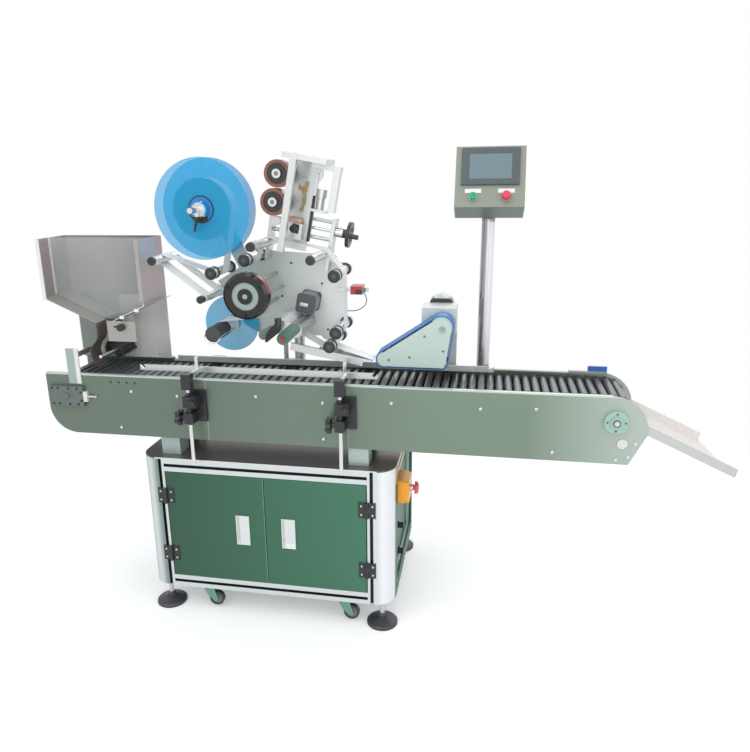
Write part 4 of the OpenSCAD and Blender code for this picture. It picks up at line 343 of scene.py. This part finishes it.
# every other solid: its look, the stretch of its grain and the regions that look different
solids = {
    "cabinet_frame": ("anodised", (60, 60, 1),
                      [("inside", ((781, 45, 60), (815, 600, 470)), "sideGreen"),
                       ("inside", ((781, 45, 470), (815, 600, 540)), "sideTan"),
                       # painted shade down both sides of the left post, and a painted highlight
                       # down the middle of the right post
                       ("fade", ((-1, -1, 90), (24, 60, 540), 24, 8), "postPaintedShade"),
                       ("fade", ((36, -1, 90), (62, 8, 540), 36, 56), "postPaintedShade"),
                       ("fade", ((738, -1, 90), (780, 30, 540), 738, 756), "paintedHighlight"),
                       ("fade", ((780, -1, 90), (801, 40, 540), 801, 784), "paintedHighlight")]
                      + slotZones + [("inside", ((0, 0, 60), (800, 560, 86.8)), "castor")]),
    "top_plate": ("deck", (1, 40, 1),
                  [("inside", ((-5, -6, 500), (806, 0.8, 580)), "bright")]),
    "door_left": ("doorGreen", plain,
                  # painted light: the door grows paler towards the right
                  [("fade", ((60, -9, 100), (420, 30, 520), 60, 700), "doorPaintedLight"),
                   ("inside", ((392.6, -9, 100), (396, 30, 520)), "doorSeam"),
                   ("inside", ((301, -9, 256.5), (344, 30, 355.5)), "bright"),
                   ("inside", ((60, -14, 100), (112, -0.05, 520)), "black")]),
    "door_right": ("doorGreen", plain,
                   # painted light: the door grows paler towards the right
                   [("fade", ((380, -9, 100), (730, 30, 520), 60, 700), "doorPaintedLight"),
                    ("inside", ((446, -9, 256.5), (489, 30, 355.5)), "bright"),
                    ("inside", ((678, -14, 100), (730, -0.05, 520)), "black")]),
    "levelling_feet": ("silver", plain,
                       [("inside", ((-20, -20, -1), (820, 570, 36)), "rubber")]),
    "side_controls": ("orange", plain,
                      [("inside", ((760, 150, 120), (900, 260, 300)), "black"),
                       ("inside", ((823.8, 80, 380), (860, 160, 470)), "silver")]),
    # stainless with a painted reflection: dark and greenish on the left, lightening in steps
    # towards the right
    "side_plates": ("stainless", (1, 1, 40),
                    [("fade", ((-400, 0, 500), (1600, 300, 800), 300, 1000), "stainlessMidReflection"),
                     ("fade", ((-400, 0, 500), (1600, 300, 800), 1150, 1430), "stainlessBrightReflection"),
                     ("inside", ((225.5, 16, 560), (229.5, 18.6, 776)), "seam"),
                     ("inside", ((652.5, 16, 560), (656.5, 18.6, 776)), "seam"),
                     ("inside", ((-400, 16, 778), (1600, 36, 785)), "stainlessEnd"),
                     # painted shade inside the conveyor: the faces between the front and back
                     # plates are painted dark steel
                     ("inside", ((-286, 21.2, 592), (1460, 246.8, 776)), "darkSteel")]),
    "conveyor_posts": ("legMetal", (60, 60, 1),
                       # painted light: the posts grow paler towards the right, in the press
                       # cover's colour
                       [("fade", ((-100, -60, 540), (1000, 600, 800), 200, 600), "cover")]),
    "chain_plates": ("chain", (4, 4, 4), []),
    "conveyor_rollers": ("roller", (30, 1, 30), []),
    "drive_shaft": ("bright", (1, 30, 1),
                    [("ring", (bearingAt, 6.5, 11, -20, 20), "plated")]),
    "idler_shaft": ("bright", (1, 30, 1),
                    [("inside", ((-300, -20, 600), (-100, 30, 800)), "plated")]),
    "conveyor_drive": ("mint", plain,
                       [("inside", ((-276, 4, 680), (-164.8, 18.5, 746)), "plated"),
                        ("inside", ((-164.8, 4, 680), (-151, 18.5, 746)), "chuteSheet"),
                        ("inside", ((-151, 4, 700), (-120, 18.5, 726)), "silver"),
                        ("inside", ((-300, 249.5, 560), (-120, 290, 790)), "plated"),
                        ("inside", ((1300, 249.5, 480), (1463, 340, 790)), "motorGrey"),
                        ("ring", ((1401, 651), 0, 15, 10, 22), "cream")]),
    # the chute's pale sheet carries a faint painted pink reflection, and its front wall is painted
    # in shade
    "chute": ("chuteSheet", plain,
              [("inside", ((1400, 10, 500), (1800, 40, 800)), "chutePaintedShade")]),
    "guide_rails": ("silver", (1, 40, 60), []),
    "rail_clamps": ("black", plain,
                    [("inside", ((x - half, y0, z0), (x + half, y1, z1)), "bright")
                     for half, y0, y1, z0, z1 in ((6.3, -26.4, -13.6, 528, 653),
                                                  (6.3, -26.4, -13.6, 752, 762),
                                                  (5.4, -6.5, 64, 785, 842))
                     for x in clampAcross]
                    + [("inside", ((1270, 230, 781), (1390, 254, 787.2)), "sheet"),
                       ("inside", ((1328, 230, 787.2), (1390, 254, 804)), "railBlue")]),
    "hopper": ("sheet", plain,
               # painted shade: the upper back sheet darkens towards the right
               [("fade", ((-330, 225, 990), (60, 235, 1200), -330, -40), "sheetPaintedShade"),
                # painted pink reflection on the right wall
                ("inside", ((20, 84, 940), (26, 233, 1180)), "sheetPinkReflection"),
                ("inside", ((20, 88, 1118), (26, 190, 1180)), "film"),
                # painted green reflection on the lower left of the back sheet
                ("inside", ((-330, 225, 770), (-140, 235, 990)), "sheetGreenReflection"),
                # a painted pool of light on the lower back sheet, fading back to the plain sheet
                # towards the right
                ("fade", ((-260, 225, 500), (60, 235, 928), -150, -70, "floor"), "sheetPaintedLight"),
                ("fade", ((-260, 225, 500), (60, 235, 928), -30, 120, "floor"), "sheet"),
                # painted shade: the feed guard's shaded inner side, in the guard's dark
                ("inside", ((-160, 134, 784), (-134, 233.9, 930)), "guard"),
                # painted highlights on the left wall's front fold and on a band behind it, with a
                # painted pink reflection between
                ("inside", ((-330, 70, 900), (-294, 84.5, 1200)), "sheetPaintedHighlight"),
                ("inside", ((-330, 84.5, 940), (-305.6, 144, 1200)), "sheetPinkReflection"),
                ("inside", ((-330, 144, 940), (-305.6, 156, 1200)), "sheetPaintedHighlight"),
                ("inside", ((-220, 10, 700), (-183, 20, 870)), "upright"),
                # painted highlight beside the upright
                ("inside", ((-183, 10, 700), (-160, 20, 870)), "sheetPaintedHighlight"),
                ("inside", ((-90, 79, 872), (24, 82, 990)), "white")]),
    "feed_wheel": ("darkSteel", (1, 30, 1),
                   [("ring", ((-120.5, 828), 0, 5.6, 30, 150), "bright")]),
    "gate_plate": ("sheet", (40, 1, 1), [("inside", ((-90, 40, 890), (-20, 78.6, 940)), "black")]),
    "head_mast": ("silver", (60, 60, 1), []),
    "head_plate": ("headGreen", plain,
                   # painted light: the plate grows paler towards the right
                   [("fade", ((300, 190, 850), (660, 225, 1200), 340, 560), "headPaintedLight")]),
    "head_hardware": ("silver", (1, 40, 1),
                      [("ring", (at, 0, 16, -50, -37.9), "black")
                       for at in ((411, 1171), (573, 1137))]
                      + [("ring", ((228, 1014), 0, 16, 20, 44.1), "black"),
                         ("ring", (tensionAt, 20, 68, 33.9, 41), "black"),
                         ("ring", (tensionAt, 42, 58, 41.1, 199.8), "rollerSilver"),
                         ("inside", ((641, 140, 1010), (676, 196.1, 1045)), "redBand"),
                         ("inside", ((655, 140, 1010), (676, 196.1, 1031)), "black")]),
    "supply_reel": ("blue", (1, 1, 3),
                    [("ring", (reelAt, 0, 37.6, 10, 240), "hubBlue"),
                     ("ring", (reelAt, 34.5, 38.4, 10, 240), "black"),
                     ("ring", (reelAt, 0, 20, 60, 91.9), "silver"),
                     ("ring", (reelAt, 0, 8.8, 10, 92), "bright"),
                     ("inside", ((190, 60, 1180), (245, 91, 1243)), "black")]),
    "label_roll": ("rollPaper", plain,
                   [("inside", ((100, 80, 1130), (350, 95.6, 1400)), "rollSide")]),
    "dancer_arm": ("silver", (1, 20, 20), [("ring", ((85.8, 1121.1), 0, 16, 30, 42.1), "black")]),
    "drive_roller": ("rollerSilver", (1, 40, 1), []),
    "rewind_reel": ("paleBlue", (1, 1, 3),
                    [("ring", (rewindAt, 0, 26.5, 20, 182), "white"),
                     ("ring", (rewindAt, 0, 26.5, 20, 118), "grip")]),
    "tension_wheel": ("gloss", plain,
                      [("ring", (tensionAt, 22, 38.5, -1, 6), "ringGrey"),
                       ("ring", (tensionAt, 0, 7, -2, 6), "ringGrey"),
                       ("inside", ((408, 9, 1040), (450, 29, 1092)), "redBand")]),
    "head_motor": ("motorFace", plain,
                   [("inside", ((470, 139, 940), (560, 191, 1040)), "motorGrey")]),
    "peel_plate": ("silver", (60, 1, 1), []),
    "coder_frame": ("silver", plain,
                    [("inside", ownBox("coder", (57, 140, 20), (67, 161, 160)), "black"),
                     ("inside", ownBox("coder", (13, 80, 50), (39, 124.2, 76)), "black"),
                     ("ring", (ownPoint("coder", (-27, 0, 75.5))[::2], 0, 13, 109, 121, "coder"),
                      "white")]),
    "ribbon_reel_upper": ("ribbon", (1, 40, 1), ribbonZones(ribbonReels["upper"])),
    "ribbon_reel_lower": ("ribbon", (1, 40, 1), ribbonZones(ribbonReels["lower"])),
    "coder_handwheel": ("black", plain,
                        [("inside", ownBox("coder", (-80, 160, 60), (156, 200, 80)), "bright")]),
    "press_frame": ("cover", plain,
                    [("inside", ((700, 172, 500), (1000, 420, 1100)), "column"),
                     ("inside", ((840, 264, 977.2), (960, 300, 990)), "black")]),
    "press_belt": ("beltBlue", (1, 20, 1), []),
    "control_box": ("box", plain,
                    # painted shade on the box's underside
                    [("inside", ownBox("panel", (-3, -12, -3), (193, 95, 0.5)), "boxUnderShade"),
                     ("inside", ownBox("panel", (-50, -60, -900), (250, 500, -0.5)), "pole"),
                     # painted highlight down the right side of the pole
                     ("fade", ((1005, 120, 790), (1060, 420, 1215), 1024, 1034), "paintedHighlight"),
                     ("inside", ownBox("panel", (12, -9, 61), (178, -0.1, 172)), "bezel"),
                     ("inside", ownBox("panel", (37.5, -6.9, 79.5), (152.5, 1, 152.5)), "screen"),
                     ("inside", ownBox("panel", (30, -6, 15), (160, -0.1, 44)), "silver")]),
}
for i, at in enumerate(guideRollers, 1):
    solids["guide_roller_%d" % i] = ("black", (1, 30, 1), rollerZones(at))
for i, (y, x) in enumerate(((y, x) for y in castors["y"] for x in castors["x"]), 1):
    solids["caster_fork_%d" % i] = ("castor", plain, [])
    hub = ((x + castors["trail"], castors["z"]), 0, castors["core"], y - castors["half"],
           y + castors["half"])
    solids["caster_wheel_%d" % i] = ("rubber", plain, [("ring", hub, "hubGrey")])

solids.update({name: (look, plain, []) for name, look in plainSolids.items()})

for nodeName, (look, grain, zones) in solids.items():
    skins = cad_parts[nodeName].data.materials
    skins.clear()
    skins.append(painted(nodeName, look, grain, zones))
print("materials on the solids:", len(solids))

# finishes that the modelled pieces share; a collar's front edge is black, and the guard finish is
# dark for painted shade
finishes = {name: painted(name + "Finish", name) for name in
            ("black", "gloss", "bright", "silver", "white", "redBand", "brass", "copper",
             "cable", "guard", "linkGreen", "armGreen", "ringGrey", "hubGrey")}
finishes["collar"] = painted("collarFinish", "silver", zones=[
    ("inside", ((200, 59.5, 800), (700, 90, 1200)), "black")])


# modelling by hand: a primitive opened in edit mode, shaped, then closed as a piece
def clearSelection():
    if bpy.context.object and bpy.context.object.mode != "OBJECT":
        bpy.ops.object.mode_set(mode="OBJECT")
    bpy.ops.object.select_all(action="DESELECT")


def opened(kind, name, **settings):
    clearSelection()
    getattr(bpy.ops.mesh, "primitive_" + kind + "_add")(**settings)
    piece = bpy.context.object
    piece.name = name
    bpy.ops.object.transform_apply(location=True, rotation=True, scale=True)
    bpy.ops.object.mode_set(mode="EDIT")
    return piece


def slab(name, low, high):
    low, high = spot(*low), spot(*high)
    return opened("cube", name, size=1, location=(low + high) / 2, scale=high - low)


def rod(name, start, end, radius, sides=24):
    start, end = spot(*start), spot(*end)
    turn = (end - start).to_track_quat("Z", "Y").to_euler()
    return opened("cylinder", name, vertices=sides, radius=mm(radius), rotation=turn,
                  depth=(end - start).length, location=(start + end) / 2)


def pickFaces(piece, test):
    bpy.ops.mesh.select_mode(type="FACE")
    bpy.ops.mesh.select_all(action="DESELECT")
    grid = bmesh.from_edit_mesh(piece.data)
    for face in grid.faces:
        face.select_set(bool(test(face.normal)))
    bmesh.update_edit_mesh(piece.data)


# the faces that look along an axis, the way that the sign gives
def pickSide(piece, axis, sign, flat=0.9):
    pickFaces(piece, lambda normal: getattr(normal, axis) * sign > flat)


def pull(x=0, y=0, z=0):
    bpy.ops.mesh.extrude_region_move(TRANSFORM_OT_translate={"value": (mm(x), mm(y), mm(z))})


def inset(width, depth=0):
    bpy.ops.mesh.inset(thickness=mm(width), depth=mm(depth))


def softened(piece, width, segments=2, angle=30):
    if piece.mode == "EDIT":
        bpy.ops.object.mode_set(mode="OBJECT")
    bevel = piece.modifiers.new("edges", "BEVEL")
    bevel.width = mm(width)
    bevel.segments = segments
    bevel.limit_method = "ANGLE"
    bevel.angle_limit = math.radians(angle)
    bpy.ops.object.modifier_apply(modifier=bevel.name)
    return piece


def closed(piece, finishName, body):
    clearSelection()
    piece.select_set(True)
    bpy.context.view_layer.objects.active = piece
    bpy.ops.object.transform_apply(location=True, rotation=True, scale=True)
    bpy.ops.object.shade_smooth_by_angle(angle=math.radians(35))
    piece.data.materials.clear()
    piece.data.materials.append(finishes[finishName])
    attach(piece, body)
    return piece


# copies of one master that face the front, each with its own mesh and its own turn, joined
# into a single piece
def scattered(master, name, places, finishName, body, turnStep=17):
    clearSelection()
    front = Vector((0, -1, 0)).to_track_quat("Z", "Y").to_matrix().to_4x4()
    twins = []
    for i, where in enumerate(places):
        twin = master.copy()
        twin.data = master.data.copy()
        turn = Matrix.Rotation(math.radians(turnStep * i), 4, "Z")
        twin.data.transform(Matrix.Translation(spot(*where)) @ front @ turn)
        bpy.context.scene.collection.objects.link(twin)
        twins.append(twin)
    for twin in twins:
        twin.select_set(True)
    bpy.context.view_layer.objects.active = twins[0]
    bpy.ops.object.join()
    twins[0].name = name
    return closed(twins[0], finishName, body)


# a wire bent along points, with round corners, as a mesh tube, and the route that it takes
def bentWire(name, points, radius, steps=6):
    clearSelection()
    data = bpy.data.curves.new(name, "CURVE")
    data.dimensions = "3D"
    data.bevel_depth = mm(radius)
    data.bevel_resolution = 2
    data.use_fill_caps = True
    line = data.splines.new("BEZIER")
    line.bezier_points.add(len(points) - 1)
    for knot, point in zip(line.bezier_points, points):
        knot.co = spot(*point)
        knot.handle_left_type = knot.handle_right_type = "AUTO"
    wire = bpy.data.objects.new(name, data)
    bpy.context.scene.collection.objects.link(wire)
    wire.select_set(True)
    bpy.context.view_layer.objects.active = wire
    bpy.context.view_layer.update()
    route = [line.bezier_points[0].co.copy()]
    for a, b in zip(line.bezier_points, line.bezier_points[1:]):
        route += interpolate_bezier(a.co, a.handle_right, b.handle_left, b.co, steps)[1:]
    bpy.ops.object.convert(target="MESH")
    return bpy.context.object, route


# screws: radius, height, socket radius, socket depth and sides of each master, and the rim,
# its rise and the softened edge as shares of the radius
screws = {"cap": (4.5, 3.2, 2.2, 1.8, 20), "small": (3.2, 2.2, 1.6, 1.2, 16),
          "tiny": (2.2, 1.6, 1.0, 0.9, 12)}
screwShares = {"rim": 0.18, "rise": 0.12, "edge": 0.06}


def makeScrew(kind, radius, height, socket, depth, sides):
    piece = opened("cylinder", kind + "ScrewMaster", vertices=sides, radius=mm(radius),
                   depth=mm(height), location=(0, 0, mm(height) / 2))
    pickSide(piece, "z", 1)
    inset(radius * screwShares["rim"], radius * screwShares["rise"])
    inset(radius * (1 - screwShares["rim"]) - socket)
    pull(z=-depth)
    softened(piece, radius * screwShares["edge"], 1)
    clearSelection()
    return piece


def around(centre, radius, angles):
    return [(centre[0] + radius * math.cos(a), centre[1] + radius * math.sin(a)) for a in angles]


masters = {kind: makeScrew(kind, *sizes) for kind, sizes in screws.items()}
boltCircle = 0.77 * 31      # of the discharge bearing
hingeRows = [192, 220, 392, 420]
takeUpPlaces = [(x, z) for z in (688, 738) for x in (-267, -247, -212, -184)]

# each run: its master, its depth y, its places as x and z, its finish, body and slot
screwRuns = {
    "plateScrews": ("cap", 18, [(-10, 734), (137, 726), (-55, 617), (382, 736), (581, 726),
                                (779, 735), (1025, 731), (1173, 738), (1222, 616), (581, 616),
                                (1435, 653), (1419, 614), (1388, 604)],
                    "bright", "machine", "plated_steel"),
    "takeUpScrews": ("small", 6, takeUpPlaces + [(-172, 700), (-172, 726)],
                     "black", "machine", "black_plastic"),
    "bearingBolts": ("small", 8.5,
                     [(bearingAt[0] + boltCircle * c, bearingAt[1] + boltCircle * s)
                      for c, s in ((1, 0), (0, 1), (-1, 0), (0, -1))],
                     "hubGrey", "machine", "black_plastic"),
    "hopperScrews": ("small", 234, [(10, 919), (-62, 846), (-16, 797), (-40, 1120), (8, 1150)],
                     "bright", "machine", "plated_steel"),
    "left_doorHingeScrews": ("small", -2.8, [(97, z) for z in hingeRows],
                             "silver", "left_door", "plated_steel"),
    "right_doorHingeScrews": ("small", -2.8, [(693, z) for z in hingeRows],
                              "silver", "right_door", "plated_steel"),
    "postHingeScrews": ("small", -2.8, [(x, z) for x in (63, 727) for z in hingeRows],
                        "silver", "machine", "plated_steel"),
    "hubScrews": ("tiny", 71.7, around(reelAt, 24, (1.1, 3.4, 5.5)),
                  "bright", "supply", "plated_steel"),
    "headScrews": ("small", 200, [(452, 1100), (598, 1098), (588, 1120), (520, 1118), (340, 1064),
                                  (585, 1070), (420, 1000), (430, 880), (560, 900), (545, 1040),
                                  (470, 960)],
                   "black", "head", "black_plastic"),
    "pressScrews": ("small", 100, [(862, 910), (915, 869), (923, 827), (760, 838), (820, 848)],
                    "hubGrey", "machine", "plated_steel"),
}
for name, (kind, y, places, finishName, body, slotName) in screwRuns.items():
    scattered(masters[kind], name, [(x, y, z) for x, z in places], finishName, body)
print("screws placed")


# turns a piece that was made upright into its part's tilted place
def tilted(piece, name):
    turn, centre, angle = tilts[name]
    middle = spot(*centre)
    clearSelection()
    piece.data.transform(Matrix.Translation(middle)
                         @ Matrix.Rotation(math.radians(angle), 4, turn[0])
                         @ Matrix.Translation(-middle))
    return piece


# flat plate with round ends between two centres, front to back along y
def linkPlate(name, first, second, radius, front, back, finishName, body):
    run = Vector((second[0] - first[0], 0, second[1] - first[1]))
    piece = rod(name, (first[0], front, first[1]), (first[0], back, first[1]), radius, 32)
    pickFaces(piece, lambda normal: normal.dot(run) > 0.02 * run.length
              and abs(normal.y) < 0.5)      # the half that looks to the second centre
    bpy.ops.transform.translate(value=(mm(run.x), 0, mm(run.z)))
    return closed(softened(piece, 1), finishName, body)


# upright plate with a rim round its front face, tilted with its part
def facedPlate(name, low, high, rim, rise, edge, tilt, finishName, body):
    piece = slab(name, low, high)
    pickSide(piece, "y", -1)
    inset(rim, rise)
    return closed(tilted(softened(piece, edge), tilt), finishName, body)


# round part that faces the front; each step insets its face, with a depth, and may sink it
def turnedPart(name, centre, front, back, radius, sides, steps, edge, finishName, body):
    x, z = centre
    piece = rod(name, (x, front, z), (x, back, z), radius, sides)
    pickSide(piece, "y", -1)
    for width, depth, sink in steps:
        inset(width, depth)
        if sink:
            pull(y=sink)
    return closed(softened(piece, edge), finishName, body)


# the pair of bare plates over the panel's buttons, in the box's own measures
namePlates = {"across": {"startPlate": 50, "stopPlate": 140}, "wide": 45, "tall": 12, "up": 41,
              "front": -0.8, "back": -0.02, "rim": 0.8, "rise": 0.15, "edge": 0.2}
for label, across in namePlates["across"].items():
    left, up = across - namePlates["wide"] / 2, namePlates["up"]
    low, high, tilt = ownBox("panel", (left, namePlates["front"], up),
                             (left + namePlates["wide"], namePlates["back"],
                              up + namePlates["tall"]))
    facedPlate(label, low, high, namePlates["rim"], namePlates["rise"], namePlates["edge"], tilt,
               "white", "machine")
print("panel dressed")

# bushing on the press cover, over its top pulley
turnedPart("pressBushing", (911, 931), 96.5, 100.1, 9, 32, [(2.2, -0.5, 0), (1.4, 0, 2.2)], 0.4,
           "ringGrey", "machine")

# pressing roller's arm, and the driven roller's link with its cap and boss
pair = {"arm": ((438, 932), (412, 918), 14), "link": ((501, 937), (468, 908), 17),
        "front": 24, "back": 31.6, "capBack": 24.2}
for label in ("arm", "link"):
    first, second, radius = pair[label]
    linkPlate(label + "Plate", first, second, radius, pair["front"], pair["back"],
              label + "Green", "head")
turnedPart("linkCap", pair["link"][1], 19, pair["capBack"], 6.5, 24, [(2, 0, 1.4)], 0.6,
           "redBand", "head")
turnedPart("pairBoss", pair["link"][0], 22.5, pair["capBack"], 3.5, 24, [(1.2, -0.6, 0)], 0.4,
           "hubGrey", "head")

# pressing roller's lever: its root, then steps down the blade, each across, up and growth
lever = {"low": (451, 10, 953), "high": (469, 23.8, 970), "edge": 3.5,
         "steps": [(-7, -12, 1.75), (-11, -15, 1.05), (-11, -14, 0.6), (-8, -12, 0.3)]}
blade = slab("nipLever", lever["low"], lever["high"])
pickSide(blade, "z", -1)
for dx, dz, grow in lever["steps"]:
    pull(x=dx, z=dz)
    bpy.ops.transform.resize(value=(grow, 1, 1))
closed(softened(blade, lever["edge"], 3, 20), "gloss", "head")

# spring wire that holds the waste web on the winding mandrel
spring = {"points": [(236, 150, 908), (233.5, 28, 907), (240, 21, 897), (258, 19, 889.5),
                     (275, 21, 896), (282.5, 28, 906), (280, 150, 908)], "radius": 1.4}
wire = bentWire("rewindWire", spring["points"], spring["radius"])[0]
closed(wire, "bright", "rewind")

# bare plate on the motor's face
facedPlate("motorPlate", (494, 129.2, 982), (518, 130.02, 992), 0.8, 0.2, 0.2, "motor",
           "silver", "head")

# deep collars behind the guide rollers' caps, each with a wider rim at its back
collarSize = {"front": 44, "back": 60, "radius": 15.5, "widen": 1.15, "rim": 7}
for i, (x, z) in enumerate(guideRollers, 1):
    collar = rod("rollerCollar%d" % i, (x, collarSize["front"], z), (x, collarSize["back"], z),
                 collarSize["radius"], 32)
    pickSide(collar, "y", 1)
    pull()      # a new edge where the rim begins
    bpy.ops.transform.resize(value=(collarSize["widen"], 1, collarSize["widen"]))
    pull(y=collarSize["rim"])
    closed(softened(collar, 0.5, 1), "collar", "web_roller_%d" % i)
print("label head dressed")

# guard that leads the cans round the feed wheel, dark with painted shade of its inner side
feed = {"at": (-120.5, 828), "radius": 47, "front": 79, "back": 136.2, "x": -138, "half": 1.5,
        "top": 927, "bend": 885, "angles": range(125, 240, 14)}
guard = slab("feedGuard", (feed["x"] - feed["half"], feed["front"], feed["bend"]),
             (feed["x"] + feed["half"], feed["back"], feed["top"]))
pickSide(guard, "z", -1)
path = around(feed["at"], feed["radius"], [math.radians(a) for a in feed["angles"]])
here, heading = (feed["x"], feed["bend"]), -90
for x, z in path:
    course = math.degrees(math.atan2(z - here[1], x - here[0])) % 360 - 360
    pull(x=x - here[0], z=z - here[1])
    bpy.ops.transform.rotate(value=math.radians(heading - course), orient_axis="Y")
    here, heading = (x, z), course
closed(softened(guard, 0.4, 1), "guard", "machine")
print("feed guard placed")

# brass toggle and copper pads of the date coder, in its own measures
toggle = {"joints": [(36, 190), (31, 165), (35, 140), (30, 114)], "y": 150, "radius": 2.6,
          "nut": 5, "nutDeep": 10, "nutBack": 160}
joints = [ownPoint("coder", (u, toggle["y"], v)) for u, v in toggle["joints"]]
for i, (start, end) in enumerate(zip(joints, joints[1:])):
    bar = rod("brassLink%d" % i, start, end, toggle["radius"], 12)
    pickFaces(bar, lambda normal: abs(normal.y) < 0.3 and abs(normal.z) > 0.75)
    inset(0.4, 0.5)
    closed(tilted(softened(bar, 0.4, 1), "coder"), "brass", "coder")
nut = opened("cylinder", "brassNutMaster", vertices=6, radius=mm(toggle["nut"]),
             depth=mm(toggle["nutDeep"]), location=(0, 0, mm(toggle["nutDeep"]) / 2))
pickSide(nut, "z", 1)
inset(1.2, 0.8)
softened(nut, 0.4, 1)
nutPlaces = [ownPoint("coder", (u, toggle["nutBack"], v)) for u, v in toggle["joints"]]
tilted(scattered(nut, "brassNuts", nutPlaces, "brass", "coder"), "coder")
pads = {"copperPad": ((12, 157, 168), (40, 160.02, 182)),
        "copperStrip": ((2, 138, 78), (40, 160.02, 90))}
for label, (low, high) in pads.items():
    low, high, tilt = ownBox("coder", low, high)
    facedPlate(label, low, high, 2, 0.5, 0.3, tilt, "copper", "coder")

# thin lead of the label sensor, down to the plate's edge and in behind it
lead = {"points": [(674, 185, 1018), (681, 187, 1002), (679, 190, 984), (664, 197, 968),
                   (640, 208, 958), (612, 216, 956), (600, 213.4, 956)], "radius": 1.3}
wire, route = bentWire("sensorLead", lead["points"], lead["radius"])
closed(wire, "cable", "head")
2 * mm(lead["radius"])

for master in (*masters.values(), nut):
    bpy.data.objects.remove(master)
print("coder dressed")

# camera: its place in the machine's measures, its angles in degrees, and its focal length and
# middle in pixels
view = {"at": (1026.7, -1792.0, 1354.9), "turn": 10.92, "down": 16.59, "roll": -0.82,
        "focal": 686.9, "centre": (355.4, 377.6), "image": (750, 752), "far": 50}


def makeCamera():
    data = bpy.data.cameras.new("camera")
    camera = bpy.data.objects.new("camera", data)
    bpy.context.scene.collection.objects.link(camera)
    width, height = view["image"]
    data.lens = data.sensor_width * view["focal"] / height
    data.shift_x = (width / 2 - view["centre"][0]) / height
    data.shift_y = (view["centre"][1] - height / 2) / height
    turn = Matrix.Rotation(math.radians(view["turn"]), 4, "Z")
    lift = Matrix.Rotation(math.radians(90 - view["down"]), 4, "X")
    roll = Matrix.Rotation(math.radians(view["roll"]), 4, "Z")
    camera.matrix_world = Matrix.Translation(spot(*view["at"])) @ turn @ lift @ roll
    data.clip_end = view["far"]
    bpy.context.scene.camera = camera


# lamps: place in metres, size and watts, all aimed at one point
studio = {"key": ((-1.6, -2.6, 3.4), 2.6, 38), "fill": ((2.8, -2.2, 2.2), 2.4, 26),
          "rear": ((0.6, 2.8, 3.0), 2.6, 32), "top": ((0.2, -0.2, 4.2), 3.0, 30),
          "front": ((0.4, -4.4, 1.5), 3.0, 34)}
lampsAim = (0.1, 0, 0.8)


def makeLamps():
    for name, (at, size, power) in studio.items():
        data = bpy.data.lights.new(name, "AREA")
        data.size = size
        data.energy = power
        lamp = bpy.data.objects.new(name, data)
        bpy.context.scene.collection.objects.link(lamp)
        lamp.location = at
        away = Vector(at) - Vector(lampsAim)
        lamp.rotation_euler = away.to_track_quat("Z", "Y").to_euler()


# 1 for rays that see the background: from the camera, in metal and through glass
def seenRays(tree):
    path = tree.nodes.new("ShaderNodeLightPath")
    seen = Wire(tree, path.outputs["Is Camera Ray"])
    for name in ("Is Transmission Ray", "Is Glossy Ray"):
        seen = seen.sum("MAXIMUM", Wire(tree, path.outputs[name]))
    return seen


sky = {"colour": (0.93, 0.96, 1, 1), "strength": 0.55}
white = (1, 1, 1, 1)


def makeWorld():
    world = bpy.data.worlds.new("studio")
    bpy.context.scene.world = world
    world.use_nodes = True
    tree = world.node_tree
    tree.nodes.clear()
    light = tree.nodes.new("ShaderNodeBackground")
    light.inputs["Color"].default_value = sky["colour"]
    light.inputs["Strength"].default_value = sky["strength"]
    seen = tree.nodes.new("ShaderNodeBackground")
    seen.inputs["Color"].default_value = white
    mixer = tree.nodes.new("ShaderNodeMixShader")
    tree.links.new(seenRays(tree).socket, mixer.inputs[0])
    tree.links.new(light.outputs[0], mixer.inputs[1])
    tree.links.new(seen.outputs[0], mixer.inputs[2])
    output = tree.nodes.new("ShaderNodeOutputWorld")
    tree.links.new(mixer.outputs[0], output.inputs[0])


# lit paint under the machine that keeps its shadow, plain white further out
floorLook = {"size": 30, "from": 0.9, "to": 2.4, "glow": 0.3, "colour": "#f4f4f4",
             "rough": 0.8, "shine": 0.1}


def makeFloor():
    clearSelection()
    bpy.ops.mesh.primitive_plane_add(size=floorLook["size"], location=(0, 0, 0))
    floor = bpy.context.object
    floor.name = "studioFloor"
    finish = Finish("floorPaint")
    tree = finish.tree
    where = finish.place()
    reach = finish.node("VectorMath", {"operation": "LENGTH"}, output=1, Vector=where)
    far = finish.node("MapRange", {"interpolation_type": "SMOOTHSTEP"}, Value=reach,
                      From_Min=floorLook["from"], From_Max=floorLook["to"])
    seen = seenRays(tree)
    finish.set("Base Color", hexColour(floorLook["colour"]))
    finish.set("Roughness", floorLook["rough"])
    finish.set("Specular IOR Level", floorLook["shine"])
    finish.set("Emission Color", white)
    finish.set("Emission Strength", seen * floorLook["glow"])
    bare = tree.nodes.new("ShaderNodeEmission")
    mixer = tree.nodes.new("ShaderNodeMixShader")
    tree.links.new((seen * far).socket, mixer.inputs[0])
    tree.links.new(finish.shader.outputs[0], mixer.inputs[1])
    tree.links.new(bare.outputs[0], mixer.inputs[2])
    tree.links.new(mixer.outputs[0], tree.nodes["Material Output"].inputs[0])
    floor.data.materials.append(finish.material)


makeCamera()
makeLamps()
makeWorld()
makeFloor()
bpy.context.scene.view_settings.view_transform = "Standard"
print("studio ready")
